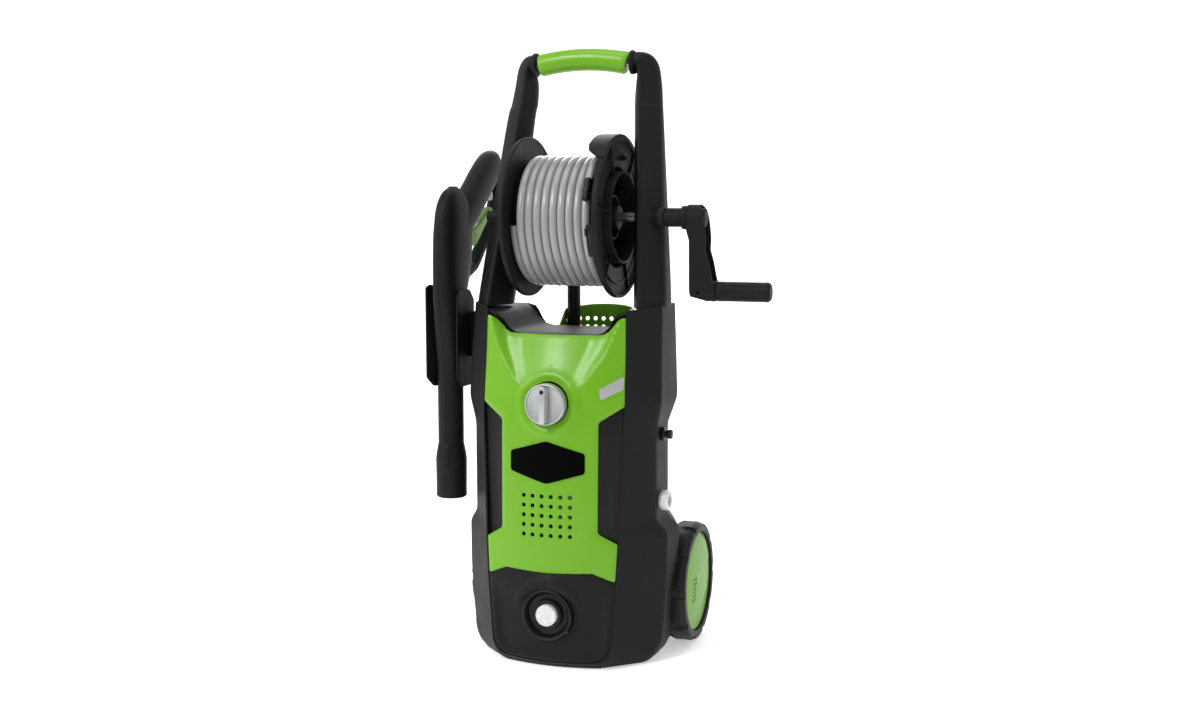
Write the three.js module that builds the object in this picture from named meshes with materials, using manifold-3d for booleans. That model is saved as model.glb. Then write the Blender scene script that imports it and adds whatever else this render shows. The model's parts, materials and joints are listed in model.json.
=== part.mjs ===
// Upright electric pressure washer with a crank hose reel, a spray gun in a side holder and two wheels.
// Millimetres, +Z up. X runs to the right seen from the front, Y runs to the back, the floor is Z = 0.
// The origin is the middle of the flat underside. The reel turns about the X axis at Y = 0.
import * as THREE from 'three';
import { mergeVertices } from 'three/addons/utils/BufferGeometryUtils.js';
import Module from 'manifold-3d';

const wasm = await Module();
wasm.setup();

// ---------- driving dimensions ----------
const GAP = 0.3; // air between neighbouring pieces
const WALL = 3.5; // moulded body wall
const PANEL = 3; // front panel thickness
const FRONT_RADIUS = 230; // plan radius of the bowed front
const REAR_FACE = 112; // the rear face of the body's wide lower part

const REEL = { y: 0, z: 635, drumR: 76, axleR: 7 };
const HOSE = { d: 12, innerR: 82, x: [-53.7, 63.4], sag: 5.5 };
const CRANK = { z: 532, gripX: [213.8, 291], gripR: 14.1, pinR: 4 };
const WHEEL = { y: 92, z: 89, r: 89, x: [131, 168], boreR: 6, axleR: 5.7, archR: 94, archX: 124 };
const KNOB = { z: 378, r: 29.3, face: -124, bar: -134 };
const OUTLET = { z: 78, r: 14.3, bezelR: 37, face: -117 };
const VENT = { columns: 6, rows: 5, pitch: 13.8, r: 2.9, z: 220 };
const GUN = { x: -184.5, half: 18, lanceY: -26, lanceR: 19, tubeR: 5 };
const HOLDER = { x: [-206, -163], y: [-50, 15], z: [384, 528], wall: 2.5 };
const GRIP = { half: 68, y: 46, z: 855, rise: 7, rz: 16.5, ry: 15, coreR: 8 };
const MOTOR = { y: -5, r: 48, z: [205, 345], shaftR: 6 };
const BASKET = { halfX: 53, y: [73.5, 160], z: [330, 499], wall: 3, holeR: 3.2, pitch: 13 };
const INLET = [-17, 233]; // the water inlet's axis, [Y, Z]
const DETERGENT_PORT = [-14, 328];
const SPARE = { x: -39, y: 112, r: 10, z: [333.5, 600] };

const COLOURS = {
  green: [0x78b82e, 0.4], black: [0x2a2a2b, 0.6], dark: [0x1b1b1c, 0.65], hose: [0xb9babb, 0.45],
  silver: [0xb8babb, 0.4], rubber: [0x1d1d1d, 0.8], steel: [0x9a9c9e, 0.3], brass: [0xb09050, 0.35],
  white: [0xd8dadb, 0.35], copper: [0x9c5a34, 0.5],
};

// ---------- solids ----------
const V = (x, y, z) => new THREE.Vector3(x, y, z);

function toSolid(geometry) {
  geometry.deleteAttribute('normal');
  geometry.deleteAttribute('uv');
  const merged = mergeVertices(geometry, 1e-4);
  const triVerts = new Uint32Array(merged.index.array);
  const position = merged.attributes.position;
  const [a, b, c] = [new THREE.Vector3(), new THREE.Vector3(), new THREE.Vector3()];
  let volume = 0;
  for (let i = 0; i < triVerts.length; i += 3) {
    a.fromBufferAttribute(position, triVerts[i]);
    b.fromBufferAttribute(position, triVerts[i + 1]);
    c.fromBufferAttribute(position, triVerts[i + 2]);
    volume += a.dot(b.cross(c));
  }
  if (volume < 0) triVerts.reverse();
  const mesh = new wasm.Mesh({ numProp: 3, vertProperties: new Float32Array(position.array), triVerts });
  return new wasm.Manifold(mesh);
}

function toGeometry(solid) {
  const mesh = solid.getMesh();
  const geometry = new THREE.BufferGeometry();
  geometry.setAttribute('position', new THREE.BufferAttribute(mesh.vertProperties, 3));
  geometry.setIndex(new THREE.BufferAttribute(mesh.triVerts, 1));
  geometry.computeVertexNormals();
  return geometry;
}

const join = (...solids) => solids.reduce((sum, solid) => sum.add(solid));
const cut = (solid, ...tools) => tools.reduce((rest, tool) => rest.subtract(tool), solid);

// Rings of points with equal counts, closed at both ends by fans from their middles.
function loft(rings) {
  const count = rings[0].length;
  const middle = (ring) => ring.reduce((sum, p) => sum.add(p), V(0, 0, 0)).divideScalar(count);
  const points = [...rings.flat(), middle(rings[0]), middle(rings.at(-1))];
  const index = [];
  const first = rings.length * count;
  for (let k = 0; k < count; k += 1) {
    const next = (k + 1) % count;
    for (let row = 0; row + 1 < rings.length; row += 1) {
      const [low, high] = [row * count, (row + 1) * count];
      index.push(low + k, low + next, high + next, low + k, high + next, high + k);
    }
    index.push(first, next, k, first + 1, first - count + k, first - count + next);
  }
  const geometry = new THREE.BufferGeometry().setFromPoints(points);
  geometry.setIndex(index);
  return toSolid(geometry);
}

const AXES = {
  x: new THREE.Matrix4().makeBasis(V(0, 1, 0), V(0, 0, 1), V(1, 0, 0)),
  y: new THREE.Matrix4().makeBasis(V(1, 0, 0), V(0, 0, 1), V(0, -1, 0)),
  z: new THREE.Matrix4(),
};

function outline(points) {
  const shape = new THREE.Shape();
  points.forEach(([u, v], i) => (i ? shape.lineTo(u, v) : shape.moveTo(u, v)));
  shape.closePath();
  return shape;
}

// A flat outline pushed along an axis from a to b. The outline's own axes are (Y, Z), (X, Z) or (X, Y).
function prism(axis, shape, a, b, bevel = 0) {
  const flat = Array.isArray(shape) ? outline(shape) : shape;
  const options = { depth: b - a - 2 * bevel, curveSegments: 8, bevelEnabled: bevel > 0 };
  Object.assign(options, { bevelThickness: bevel, bevelSize: bevel, bevelOffset: -bevel, bevelSegments: 2 });
  const geometry = new THREE.ExtrudeGeometry(flat, options);
  geometry.translate(0, 0, axis === 'y' ? -b + bevel : a + bevel);
  return toSolid(geometry.applyMatrix4(AXES[axis]));
}

function box([x0, x1], [y0, y1], [z0, z1]) {
  const geometry = new THREE.BoxGeometry(x1 - x0, y1 - y0, z1 - z0);
  return toSolid(geometry.translate((x0 + x1) / 2, (y0 + y1) / 2, (z0 + z1) / 2));
}

// A closed profile of [radius, station] points turned about an axis through a centre.
function turned(axis, [u, v], profile, segments = 24) {
  const points = [...profile, profile[0]].map(([r, s]) => new THREE.Vector2(r, s));
  const geometry = new THREE.LatheGeometry(points, segments);
  if (axis === 'x') geometry.rotateZ(-Math.PI / 2).translate(0, u, v);
  if (axis === 'y') geometry.translate(u, 0, v);
  if (axis === 'z') geometry.rotateX(Math.PI / 2).translate(u, v, 0);
  return toSolid(geometry);
}

const rod = (axis, centre, r, a, b, segments = 16) =>
  turned(axis, centre, [[0, a], [r, a], [r, b], [0, b]], segments);
const tube = (axis, centre, inner, outer, a, b, segments = 24) =>
  turned(axis, centre, [[inner, a], [outer, a], [outer, b], [inner, b]], segments);

// Straight lines between the given (z, value) stations.
function along(stations, z) {
  const last = stations.length - 1;
  if (z <= stations[0][0]) return stations[0][1];
  for (let i = 0; i < last; i += 1) {
    const [[z0, v0], [z1, v1]] = [stations[i], stations[i + 1]];
    if (z <= z1) return v0 + ((v1 - v0) * (z - z0)) / (z1 - z0);
  }
  return stations[last][1];
}

const smooth = (t) => {
  const s = THREE.MathUtils.clamp(t, 0, 1);
  return s * s * (3 - 2 * s);
};

// ---------- the body's outer surface ----------
// Plan outline of the body at a height: bowed front to edge F, slanted face to corner A,
// side face to corner B, rear corner C and flat rear.
const FRONT_Y = [[0, -98], [6, -108], [15, -114], [30, -118], [125, -118.5], [340, -115], [375, -112.5],
  [410, -108.6], [449, -104], [496, -101], [515, -100]];
const F_X = [[0, 72], [6, 79], [15, 84], [30, 88], [63, 91], [125, 95.8], [181, 98.6], [375, 105.8],
  [497, 104], [515, 103.5]];
const A_POINT = {
  x: [[0, 126], [6, 134], [15, 140], [30, 144], [63, 148], [125, 151.5], [188, 152], [206, 138], [338, 138],
    [376, 146], [441, 144.5], [515, 142]],
  y: [[0, -28], [30, -30], [188, -31], [206, -40], [338, -41], [376, -44], [441, -39], [515, -28]],
};
const B_POINT = {
  x: [[0, 126], [6, 134], [15, 141], [30, 146], [125, 154], [188, 157], [206, 139], [338, 138.5], [376, 147],
    [441, 145], [515, 142.5]],
  y: [[0, 5], [125, 12], [188, 20], [206, 14], [338, 12], [376, 40], [515, 38]],
};
const REAR_Y = [[0, 99], [8, 107], [28, REAR_FACE], [170, REAR_FACE], [188, 92], [206, 70], [515, 70]];
const TOP_RISE = [[100, 507], [103.5, 507], [142, 512], [143, 513]];
const LEVELS = [0, 8, 28, 63, 125, 170, 188, 206, 338, 376, 396, 418, 444, 472, 515];
const FRONT_STEPS = [0, 0.25, 0.5, 0.7, 0.86, 1];

// The hollow between the two creases that run up from beside the knob to the panel's top corners.
function scoop(x, z) {
  const halfWidth = along([[400, 44], [410, 54], [449, 79], [496, 97], [515, 100]], z);
  const depth = along([[396, 0], [472, 25], [515, 30]], z);
  return depth * smooth((halfWidth - Math.abs(x)) / (halfWidth * 0.45));
}

function frontY(x, z) {
  const bow = FRONT_RADIUS - Math.sqrt(FRONT_RADIUS ** 2 - Math.min(Math.abs(x), 200) ** 2);
  return along(FRONT_Y, z) + bow + scoop(x, z);
}

function planHalf(z) {
  const edge = along(F_X, z);
  const front = FRONT_STEPS.map((t) => [t * edge, frontY(t * edge, z)]);
  const a = [along(A_POINT.x, z), along(A_POINT.y, z)];
  const b = [along(B_POINT.x, z), along(B_POINT.y, z)];
  const rear = along(REAR_Y, z);
  const corner = [118, rear];
  const beforeCorner = [(b[0] + 2 * corner[0]) / 3 + 4, (b[1] + 2 * corner[1]) / 3 + 2];
  return [...front, a, b, beforeCorner, corner, [60, rear]];
}

// Moves every vertex of a closed anticlockwise outline inwards, keeping the sides parallel.
function inset(points, distance) {
  const normal = ([ax, ay], [bx, by]) => {
    const length = Math.hypot(bx - ax, by - ay);
    return [-(by - ay) / length, (bx - ax) / length];
  };
  return points.map((point, i) => {
    const [before, after] = [points.at(i - 1), points[(i + 1) % points.length]];
    const [n0, n1] = [normal(before, point), normal(point, after)];
    const scale = distance / (1 + n0[0] * n1[0] + n0[1] * n1[1]);
    return [point[0] + (n0[0] + n1[0]) * scale, point[1] + (n0[1] + n1[1]) * scale];
  });
}

function bodyRing(z, distance) {
  const right = planHalf(z);
  const left = right.slice(1).reverse().map(([x, y]) => [-x, y]);
  return inset([...right, ...left], distance).map(([x, y]) => V(x, y, z));
}

// The body's outline drawn in by a distance, from the floor up to its sloping top.
function bodySolid(distance) {
  const rings = LEVELS.map((z) => bodyRing(z, distance));
  rings.at(-1).forEach((point) => point.setZ(along(TOP_RISE, Math.abs(point.x))));
  return loft(rings);
}

// The same outline run past the floor and the top, to cut with.
function bodyCutter(distance) {
  const first = bodyRing(LEVELS[0], distance).map((point) => point.setZ(-5));
  const last = bodyRing(LEVELS.at(-1), distance).map((point) => point.setZ(530));
  return loft([first, ...LEVELS.map((z) => bodyRing(z, distance)), last]);
}

// The recess a wheel turns in: a cylinder, and below it a block that opens it down to the floor.
function wheelSpace(grow, side) {
  const across = side > 0 ? [WHEEL.archX - grow, 200] : [-200, -WHEEL.archX + grow];
  const footZ = 20;
  const footY = WHEEL.y - Math.sqrt(WHEEL.archR ** 2 - (WHEEL.z - footZ) ** 2);
  return join(rod('x', [WHEEL.y, WHEEL.z], WHEEL.archR + grow, ...across, 32),
    box(across, [footY - grow, 200], [-10, footZ]));
}

const SHELL = cut(bodySolid(0), wheelSpace(0, 1), wheelSpace(0, -1),
  cut(bodyCutter(WALL), wheelSpace(WALL, 1), wheelSpace(WALL, -1)));
const skin = (outer, inner) => cut(bodySolid(outer), bodyCutter(inner));
const mirrored = (points) => [...points, ...[...points].reverse().map(([x, z]) => [-x, z])];
const bothSides = (half) => outline(mirrored(half));

// ---------- outlines on the front, [X, Z] ----------
const panelTop = [[0, 471.6], [60, 471.6], [69.5, 472.6], [77, 477], [84, 485], [90, 492], [96, 496],
  [102.2, 497.5]];
const frontPanelHalf = [...panelTop, [103.6, 494], [105.4, 375], [71.7, 353], [71.4, 197], [98.1, 181],
  [95.3, 127], [64.3, 140.5], [0, 138.5]];
const lowerPanelHalf = [[0, 138.1], [64.2, 140.1], [95.4, 126.5], [90.6, 63], [87, 44], [79, 26], [62, 13.5],
  [30, 9], [0, 8]];
const chinHalf = [[0, 7.6], [30, 8.6], [62, 13.1], [79, 25.6], [86.6, 42], [71.5, 0], [0, 0]];
const badge = [[-55, 310], [0, 326], [55, 310], [55, 282], [0, 266], [-55, 282]];
const inlay = [[72, 399], [103.9, 418], [103.9, 399], [74.5, 384.5]];

const circleHole = (x, z, r, sides = 8) => rod('y', [x, z], r, -200, 0, sides);

function ventHoles() {
  const holes = [];
  for (let column = 0; column < VENT.columns; column += 1) {
    for (let row = 0; row < VENT.rows; row += 1) {
      const x = (column - (VENT.columns - 1) / 2) * VENT.pitch;
      const z = VENT.z + (row - (VENT.rows - 1) / 2) * VENT.pitch;
      holes.push(circleHole(x, z, VENT.r, 6));
    }
  }
  return join(...holes);
}

function makeFrontPanel() {
  const panel = skin(0, PANEL).intersect(prism('y', bothSides(frontPanelHalf), -160, -20));
  return cut(panel, circleHole(0, KNOB.z, KNOB.r + 1, 28), ventHoles());
}

function makeLowerFrontPanel() {
  const panel = skin(0, WALL).intersect(prism('y', bothSides(lowerPanelHalf), -160, -20));
  return cut(panel, circleHole(0, OUTLET.z, OUTLET.bezelR + GAP, 28));
}

const makeOutletBezel = () => turned('y', [0, OUTLET.z], [[16, -108], [30, -108], [34, -117.5],
  [OUTLET.bezelR, -117.5], [OUTLET.bezelR, -104], [16, -104]], 28);

const makeOutletFitting = () => turned('y', [0, OUTLET.z], [[0, OUTLET.face], [12.6, OUTLET.face],
  [OUTLET.r, OUTLET.face + 2], [OUTLET.r, -96], [11, -96], [11, -60.3], [0, -60.3]], 20);

// The part of the front that lies outside edge F, for one side shell.
function sideRegion(side) {
  const edge = [0, 15, 30, 63, 125, 181, 375, 497, 530].map((z) => [side * (along(F_X, z) + 0.1), z]);
  return prism('y', [...edge, [side * 220, 530], [side * 220, 0]], -160, 42);
}

function makeSideShell(side) {
  const shell = SHELL.intersect(sideRegion(side));
  const ports = side > 0
    ? [rod('x', INLET, 15, 100, 160, 20), rod('x', DETERGENT_PORT, 6.5, 100, 160, 16)] : [];
  return cut(shell, ...ports);
}

const makeSideInsert = (side) => skin(6, 9).intersect(
  prism('y', [[side * 66, 174], [side * 103, 174], [side * 103, 384], [side * 66, 360]], -160, -20));

// The top deck is low in the middle and rises to a hump round each post.
const deckHalf = [[0, 472], [58, 472], [68, 475], [75, 482], [82, 493], [90, 501], [98, 504], [136, 505]];

function makeRearCover() {
  const above = prism('y', [...mirrored([...deckHalf, [136, 540]])], 0, 200);
  const cover = cut(SHELL.intersect(box([-200, 200], [42.3, 140], [0, 530])), above);
  const axleHole = rod('x', [WHEEL.y, WHEEL.z], WHEEL.axleR + GAP, -180, 180);
  return cut(join(cover, makeHook(REAR_FACE - WALL, 150, -1)), axleHole, rod('y', [-70, 250], 8.5, 40, 120));
}

function makeBaseTray() {
  const chin = SHELL.intersect(prism('y', bothSides(chinHalf), -160, -40));
  const floor = bodySolid(WALL + GAP).intersect(box([-200, 200], [-120, 41.8], [0, WALL]));
  const bridge = bodySolid(1).intersect(box([-71, 71], [-120, -80], [0, WALL]));
  return join(chin, cut(floor, wheelSpace(WALL + GAP, 1), wheelSpace(WALL + GAP, -1)), bridge);
}

const deckUnder = deckHalf.map(([x, z]) => [x, z - 4]).reverse();
function makeTopDeck(posts) {
  const band = prism('y', [...mirrored([...deckHalf, ...deckUnder])], -160, 66.2);
  const holes = posts.map(([, spigot]) => spigot);
  const behindPanel = cut(bodySolid(WALL + GAP), box([-200, 200], [66.2, 200], [0, 600]));
  return cut(band.intersect(behindPanel), ...holes);
}

const raised = (points, height) => skin(-GAP - height, -GAP).intersect(prism('y', points, -160, -20));

// ---------- posts and handle ----------
// A post is a wedge with a ridge B at the front. Section points run B, A, D, E, C round the post.
const POST_LEVELS = [
  [513, [113.6, -56], [142.5, -18], [142.5, 19], [100, 19], [93.6, -8]],
  [535, [111, -50], [142, -13], [142, 24], [97, 26], [91, -1]],
  [762, [92, 10], [121, 37], [121, 58], [82, 60], [78, 43]],
  [807, [88, 25], [115, 53], [115, 70], [78, 72], [74, 56]],
  [836, [86, 33], [112, 60], [112, 76], [78, 76], [75, 62]],
];
const ELBOW = [
  [[87, 33, 850], [104, 58, 860], [104, 72, 860], [83, 72, 842], [79, 58, 842]],
  [[80, 32, 858], [89, 50, 871], [89, 64, 871], [79, 66, 842.5], [78, 50, 841]],
  [[72.3, 31, 858], [72.3, 44, 872.5], [72.3, 60, 872], [72.3, 61, 843], [72.3, 40, 841]],
];

const GRIP_CORE = [GRIP.y + 6, 856]; // the steel core's axis, [Y, Z]

function postRings(side) {
  const straight = POST_LEVELS.map(([z, ...section]) => section.map(([x, y]) => V(side * x, y, z)));
  const bent = ELBOW.map((section) => section.map(([x, y, z]) => V(side * x, y, z)));
  return [...straight, ...bent];
}

// The post's spigot goes down inside the side shell. Its section is drawn in from the post's own.
function spigotRings(side, shrink, bottom) {
  const section = inset(POST_LEVELS[0].slice(1), shrink);
  const ring = (z) => section.map(([x, y]) => V(side * (x - 1.5), y - (513 - z) * 0.21, z));
  return [ring(bottom), ring(513)];
}

function makePost(side) {
  const post = join(loft(postRings(side)), loft(spigotRings(side, 6, 455)));
  const [a, b] = side > 0 ? [90, 138.6] : [-138.6, -78];
  const boss = rod('x', [REEL.y, REEL.z], 18, a, b, 28);
  const coreBore = rod('x', GRIP_CORE, GRIP.coreR + GAP, ...(side > 0 ? [60, 90] : [-90, -60]), 20);
  const shaftBore = rod('x', [REEL.y, REEL.z], REEL.axleR + GAP, ...(side > 0 ? [60, 160] : [-125, -60]));
  return cut(join(post, boss), coreBore, shaftBore);
}

function gripSection(x) {
  const lift = GRIP.rise * (1 - (x / GRIP.half) ** 2);
  const points = [];
  for (let k = 0; k < 14; k += 1) {
    const angle = (2 * Math.PI * k) / 14;
    const y = GRIP.y + 1.5 + GRIP.ry * Math.cos(angle);
    points.push(V(x, y, GRIP.z + lift + GRIP.rz * Math.sin(angle)));
  }
  return points;
}

function makeHandleGrip() {
  const stations = [-1, -0.75, -0.5, -0.25, 0, 0.25, 0.5, 0.75, 1].map((t) => t * GRIP.half);
  const bore = rod('x', GRIP_CORE, GRIP.coreR + GAP, -80, 80, 20);
  return cut(loft(stations.map((x) => gripSection(x))), bore);
}

const makeHandleCore = () => rod('x', GRIP_CORE, GRIP.coreR, -88, 88, 20);

// ---------- reel ----------
const AXIS = [REEL.y, REEL.z];
const makeReelAxle = () => rod('x', AXIS, REEL.axleR, -124, 138.9);
const makeReelDrum = () => tube('x', AXIS, 73.8, REEL.drumR, -63.7, 63.6, 36);

const makeFlangeLeft = () => turned('x', AXIS, [[7.3, -70], [109, -70], [112, -71], [115, -71], [115, -64],
  [20, -64], [20, -56], [7.3, -56]], 32);

// A curved band round the reel's axis. Angles are in degrees up from the front.
function band(radii, angles, sideA, sideB, steps = 8) {
  const rings = [];
  for (let k = 0; k <= steps; k += 1) {
    const angle = THREE.MathUtils.degToRad(angles[0] + ((angles[1] - angles[0]) * k) / steps);
    const [a, b] = [sideA(k / steps), sideB(k / steps)];
    const point = (x, r) => V(x, REEL.y - r * Math.cos(angle), REEL.z + r * Math.sin(angle));
    rings.push([point(a, radii[0]), point(b, radii[0]), point(b, radii[1]), point(a, radii[1])]);
  }
  return loft(rings);
}

// The guard is a lip on the right flange's rim that reaches in over the hose.
const guardEdge = (t) => 44 + 30 * (1 - smooth(t * 7)) + 20 * smooth((t - 0.8) * 5);
const makeReelGuard = () => band([113.6, 117.6], [44, 128], guardEdge, () => 74, 12);

function makeFlangeRight() {
  const dish = turned('x', AXIS, [[7.3, 42], [73.4, 42], [73.4, 63.9], [113, 63.9], [115, 66], [115, 74],
    [110, 74], [110, 67.5], [70.5, 67.5], [70.5, 45], [18, 45], [18, 70], [7.3, 70]], 32);
  const ribs = [];
  for (let k = 0; k < 6; k += 1) {
    const rib = box([44, 64], [-1.5, 1.5], [17, 71.5]);
    ribs.push(rib.rotate([60 * k + 20, 0, 0]).translate([0, REEL.y, REEL.z]));
  }
  for (let k = 0; k < 6; k += 1) {
    const rib = box([67, 72], [-1.2, 1.2], [70, 111]);
    ribs.push(rib.rotate([60 * k, 0, 0]).translate([0, REEL.y, REEL.z]));
  }
  return join(dish, makeReelGuard(), ...ribs);
}

const makeHoseClip = () => band([100, 104], [-31, -5], () => 53, () => 63.4, 5);

// One layer of turns hangs a little below the reel's axis, because it is wound loosely.
const makeWinding = () => tube('x', [REEL.y, REEL.z - HOSE.sag], HOSE.innerR, HOSE.innerR + HOSE.d,
  ...HOSE.x, 36);

// The connector at the hose's free end lies on the winding, square to the reel's axis.
function makeHoseFitting() {
  const sleeve = turned('z', [52, 0], [[0, -16], [4, -16], [5.5, -13], [5.5, 16], [0, 16]], 14);
  const seat = HOSE.innerR + HOSE.d + 5.9;
  return sleeve.translate([0, -seat, 0]).rotate([-26, 0, 0]).translate([0, REEL.y, REEL.z - HOSE.sag]);
}

// ---------- crank ----------
const makeCrankHub = () => turned('x', AXIS, [[0, 139.2], [13.35, 139.2], [13.35, 163.5], [16.8, 163.5],
  [16.8, 172], [0, 172]], 20);

function makeCrankArm() {
  const side = [[172.3, 655], [188, 655], [193, 651], [197, 637], [199, 625], [201, 604], [200, 590],
    [205, 574], [210, 549], [213.5, 540], [213.5, 517], [190, 514], [179, 520], [176.5, 532], [176.5, 604],
    [172.3, 617]];
  const front = new THREE.Shape();
  front.absarc(0, REEL.z, 18.5, 0, Math.PI, false);
  front.absarc(0, CRANK.z, 15.5, Math.PI, 2 * Math.PI, false);
  front.closePath();
  const arm = prism('y', side, -22, 22).intersect(prism('x', front, 160, 220));
  const hollow = prism('x', [[-7, 556], [7, 556], [9, 610], [-9, 610]], 190, 230);
  const pinHole = rod('x', [REEL.y, CRANK.z], CRANK.pinR + GAP, 200, 230, 16);
  return cut(arm, hollow, pinHole, rod('y', [193, CRANK.z], 2.5, -40, 40, 10));
}

function makeCrankGrip() {
  const [a, b] = CRANK.gripX;
  const profile = [[CRANK.pinR + GAP, a], [CRANK.gripR - 1, a], [CRANK.gripR, a + 3], [CRANK.gripR, b - 4],
    [CRANK.gripR - 3, b], [0, b], [0, b - 6], [CRANK.pinR + GAP, b - 6]];
  const flutes = [];
  for (let k = 0; k < 10; k += 1) {
    const angle = (2 * Math.PI * k) / 10;
    const [y, z] = [REEL.y + 15.4 * Math.cos(angle), CRANK.z + 15.4 * Math.sin(angle)];
    flutes.push(rod('x', [y, z], 2.2, a + 12, b - 8, 6));
  }
  return cut(turned('x', [REEL.y, CRANK.z], profile, 20), ...flutes);
}

const makeCrankPin = () => rod('x', [REEL.y, CRANK.z], CRANK.pinR, 200.3, CRANK.gripX[1] - 6.5, 16);

// ---------- wheels ----------
const HUB = [WHEEL.y, WHEEL.z];
const sided = (side, profile) => profile.map(([r, s]) => [r, side * s]);

// One moulding: a hub on the axle, a dished web and a chunky tread.
function makeWheel(side) {
  const [inside, outside] = WHEEL.x;
  const wheel = turned('x', HUB, sided(side, [[WHEEL.boreR, inside], [16, inside], [18, inside + 10],
    [66, inside + 10], [82, inside], [87, inside + 3], [WHEEL.r, inside + 8], [WHEEL.r, outside - 8],
    [86, outside], [74.2, outside], [74.2, outside - 7], [66, outside - 7], [64, inside + 14],
    [18, inside + 14], [14, outside - 11], [WHEEL.boreR, outside - 11]]), 30);
  const notches = [];
  for (let k = 0; k < 10; k += 1) {
    const notch = box(side > 0 ? [150, 169] : [-169, -150], [-5.5, 5.5], [86, 92]);
    notches.push(notch.rotate([36 * k, 0, 0]));
  }
  return cut(wheel, join(...notches).translate([0, WHEEL.y, WHEEL.z]));
}

// A push-on clip that holds a wheel on the axle.
const makeAxleClip = (side) => turned('x', HUB, sided(side, [[WHEEL.axleR + 0.2, 157.4], [11, 157.4],
  [11, 159], [WHEEL.axleR + 0.2, 159]]), 12);

const makeHubCap = (side) => turned('x', HUB, sided(side, [[0, 165], [69.5, 161.4],
  [73.6, 163], [73, 165.8], [52, 169], [0, 170]]), 32);

const makeAxle = () => rod('x', HUB, WHEEL.axleR, -159.5, 159.5, 20);

// ---------- knob and switch ----------
function makeKnob() {
  const disc = turned('y', [0, KNOB.z], [[0, -108], [25, -108], [25, -113], [KNOB.r, -113],
    [KNOB.r, KNOB.face + 2], [KNOB.r - 2, KNOB.face], [KNOB.r - 4, KNOB.face + 3], [0, KNOB.face + 3]], 24);
  const bar = prism('y', [[-5, KNOB.z - 26], [5, KNOB.z - 26], [6, KNOB.z + 20], [4.5, KNOB.z + 26],
    [-4.5, KNOB.z + 26], [-6, KNOB.z + 20]], KNOB.bar, KNOB.face + 4);
  return join(disc, bar, rod('y', [0, KNOB.z], 3, -115, -92));
}

const makeSwitchBox = () => cut(box([-26, 26], [-103, -62], [354, 402]),
  rod('y', [0, KNOB.z], 3.3, -120, -91, 16));

// ---------- spray gun, lance and holder ----------
const gunOutline = [[-45, 303.3], [-45, 400], [-49, 440], [-57, 480], [-63, 520], [-64, 572], [-60, 620],
  [-50, 655], [-32, 674], [-8, 679], [14, 674], [30, 679], [106, 730], [120, 736], [136, 733], [150, 718],
  [156, 700], [154, 672], [146, 642], [104, 590], [58, 546], [34, 536], [12, 520], [6, 480], [-2, 440],
  [-7, 400], [-7, 303.3]];
const triggerGap = [[40, 574], [34, 598], [42, 616], [84, 647], [132, 680], [139, 672], [136, 650],
  [98, 604], [56, 563]];

const TRIGGER_PIN = [26, 606]; // the axis the trigger turns on, [Y, Z]

// The two moulded halves meet on the gun's middle plane and hold the tube between them.
function makeGunHalf(side) {
  const [a, b] = [GUN.x - GUN.half, GUN.x + GUN.half];
  const whole = cut(prism('x', gunOutline, a, b, 5), prism('x', triggerGap, a - 1, b + 1));
  const half = side > 0 ? [GUN.x + 0.15, GUN.x + 30] : [GUN.x - 30, GUN.x - 0.15];
  const channel = rod('z', [GUN.x, GUN.lanceY], GUN.tubeR + GAP, 290, 600, 16);
  const triggerSlot = box([GUN.x - 6.5, GUN.x + 6.5], [14, 54], [578, 634]);
  return cut(whole.intersect(box(half, [-100, 200], [250, 780])), channel, triggerSlot,
    rod('x', TRIGGER_PIN, 3.3, GUN.x - 12, GUN.x + 12, 12));
}

const makeGunTube = () => rod('z', [GUN.x, GUN.lanceY], GUN.tubeR, 240, 599.5, 16);

const makeNozzleSleeve = () => turned('z', [GUN.x, GUN.lanceY], [[5.3, 303], [19, 303], [22.6, 281],
  [23, 276], [22.4, 221], [20, 219], [8, 219], [8, 239], [5.3, 239]], 22);

// A lever on a pin in the gun's body. Squeezing turns its free end up towards the grip.
function makeTrigger() {
  const lever = prism('x', [[18, 600], [24, 614], [38, 612], [70, 624], [117, 650], [121, 643], [82, 612],
    [54, 590], [34, 592]], GUN.x - 6, GUN.x + 6);
  return cut(lever, rod('x', TRIGGER_PIN, 3.3, GUN.x - 12, GUN.x + 12, 12));
}

const makeTriggerPin = () => rod('x', TRIGGER_PIN, 3, GUN.x - 11.7, GUN.x + 11.7, 12);

// A small lock that swings under the trigger's free end.
const makeTriggerLock = () => prism('x', [[124.8, 670], [130.5, 672.5], [133, 661], [129, 659]],
  GUN.x - 4, GUN.x + 4);

function makeHolder() {
  const { x, y, z, wall } = HOLDER;
  const rounded = (x0, x1) => prism('x', [[y[0], z[0] + 5], [y[0] + 5, z[0]], [y[1] - 5, z[0]],
    [y[1], z[0] + 5], [y[1], z[1] - 18], [y[1] - 6, z[1] - 5], [y[1] - 20, z[1]], [y[0] + 16, z[1]],
    [y[0] + 5, z[1] - 5],
    [y[0], z[1] - 16]], x0, x1);
  const walls = join(rounded(x[0], x[0] + wall), rounded(x[1] - wall, x[1]),
    box([x[0] + 1, x[1] - 1], [y[1] - wall, y[1]], [z[0] + 6, z[1] - 20]));
  const bracket = box([x[1] - 1, -138], [-12, 14], [420, 500]);
  return cut(join(walls, bracket), bodySolid(-GAP));
}

// ---------- ports, hooks, basket ----------
const makeWaterInlet = () => turned('x', INLET, [[0, 122], [8, 122], [8, 132], [14, 132], [14, 137],
  [13, 137.5], [13, 140], [14.5, 141], [14.5, 150], [13, 151.5], [9, 151.5], [9, 136], [0, 136]], 18);
const makeDetergentPort = () => turned('x', DETERGENT_PORT, [[0, 128], [6, 128], [6, 139], [10, 139],
  [10, 143], [5, 143.5], [5, 147], [6.5, 148], [6.5, 154], [0, 154]], 14);

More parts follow.
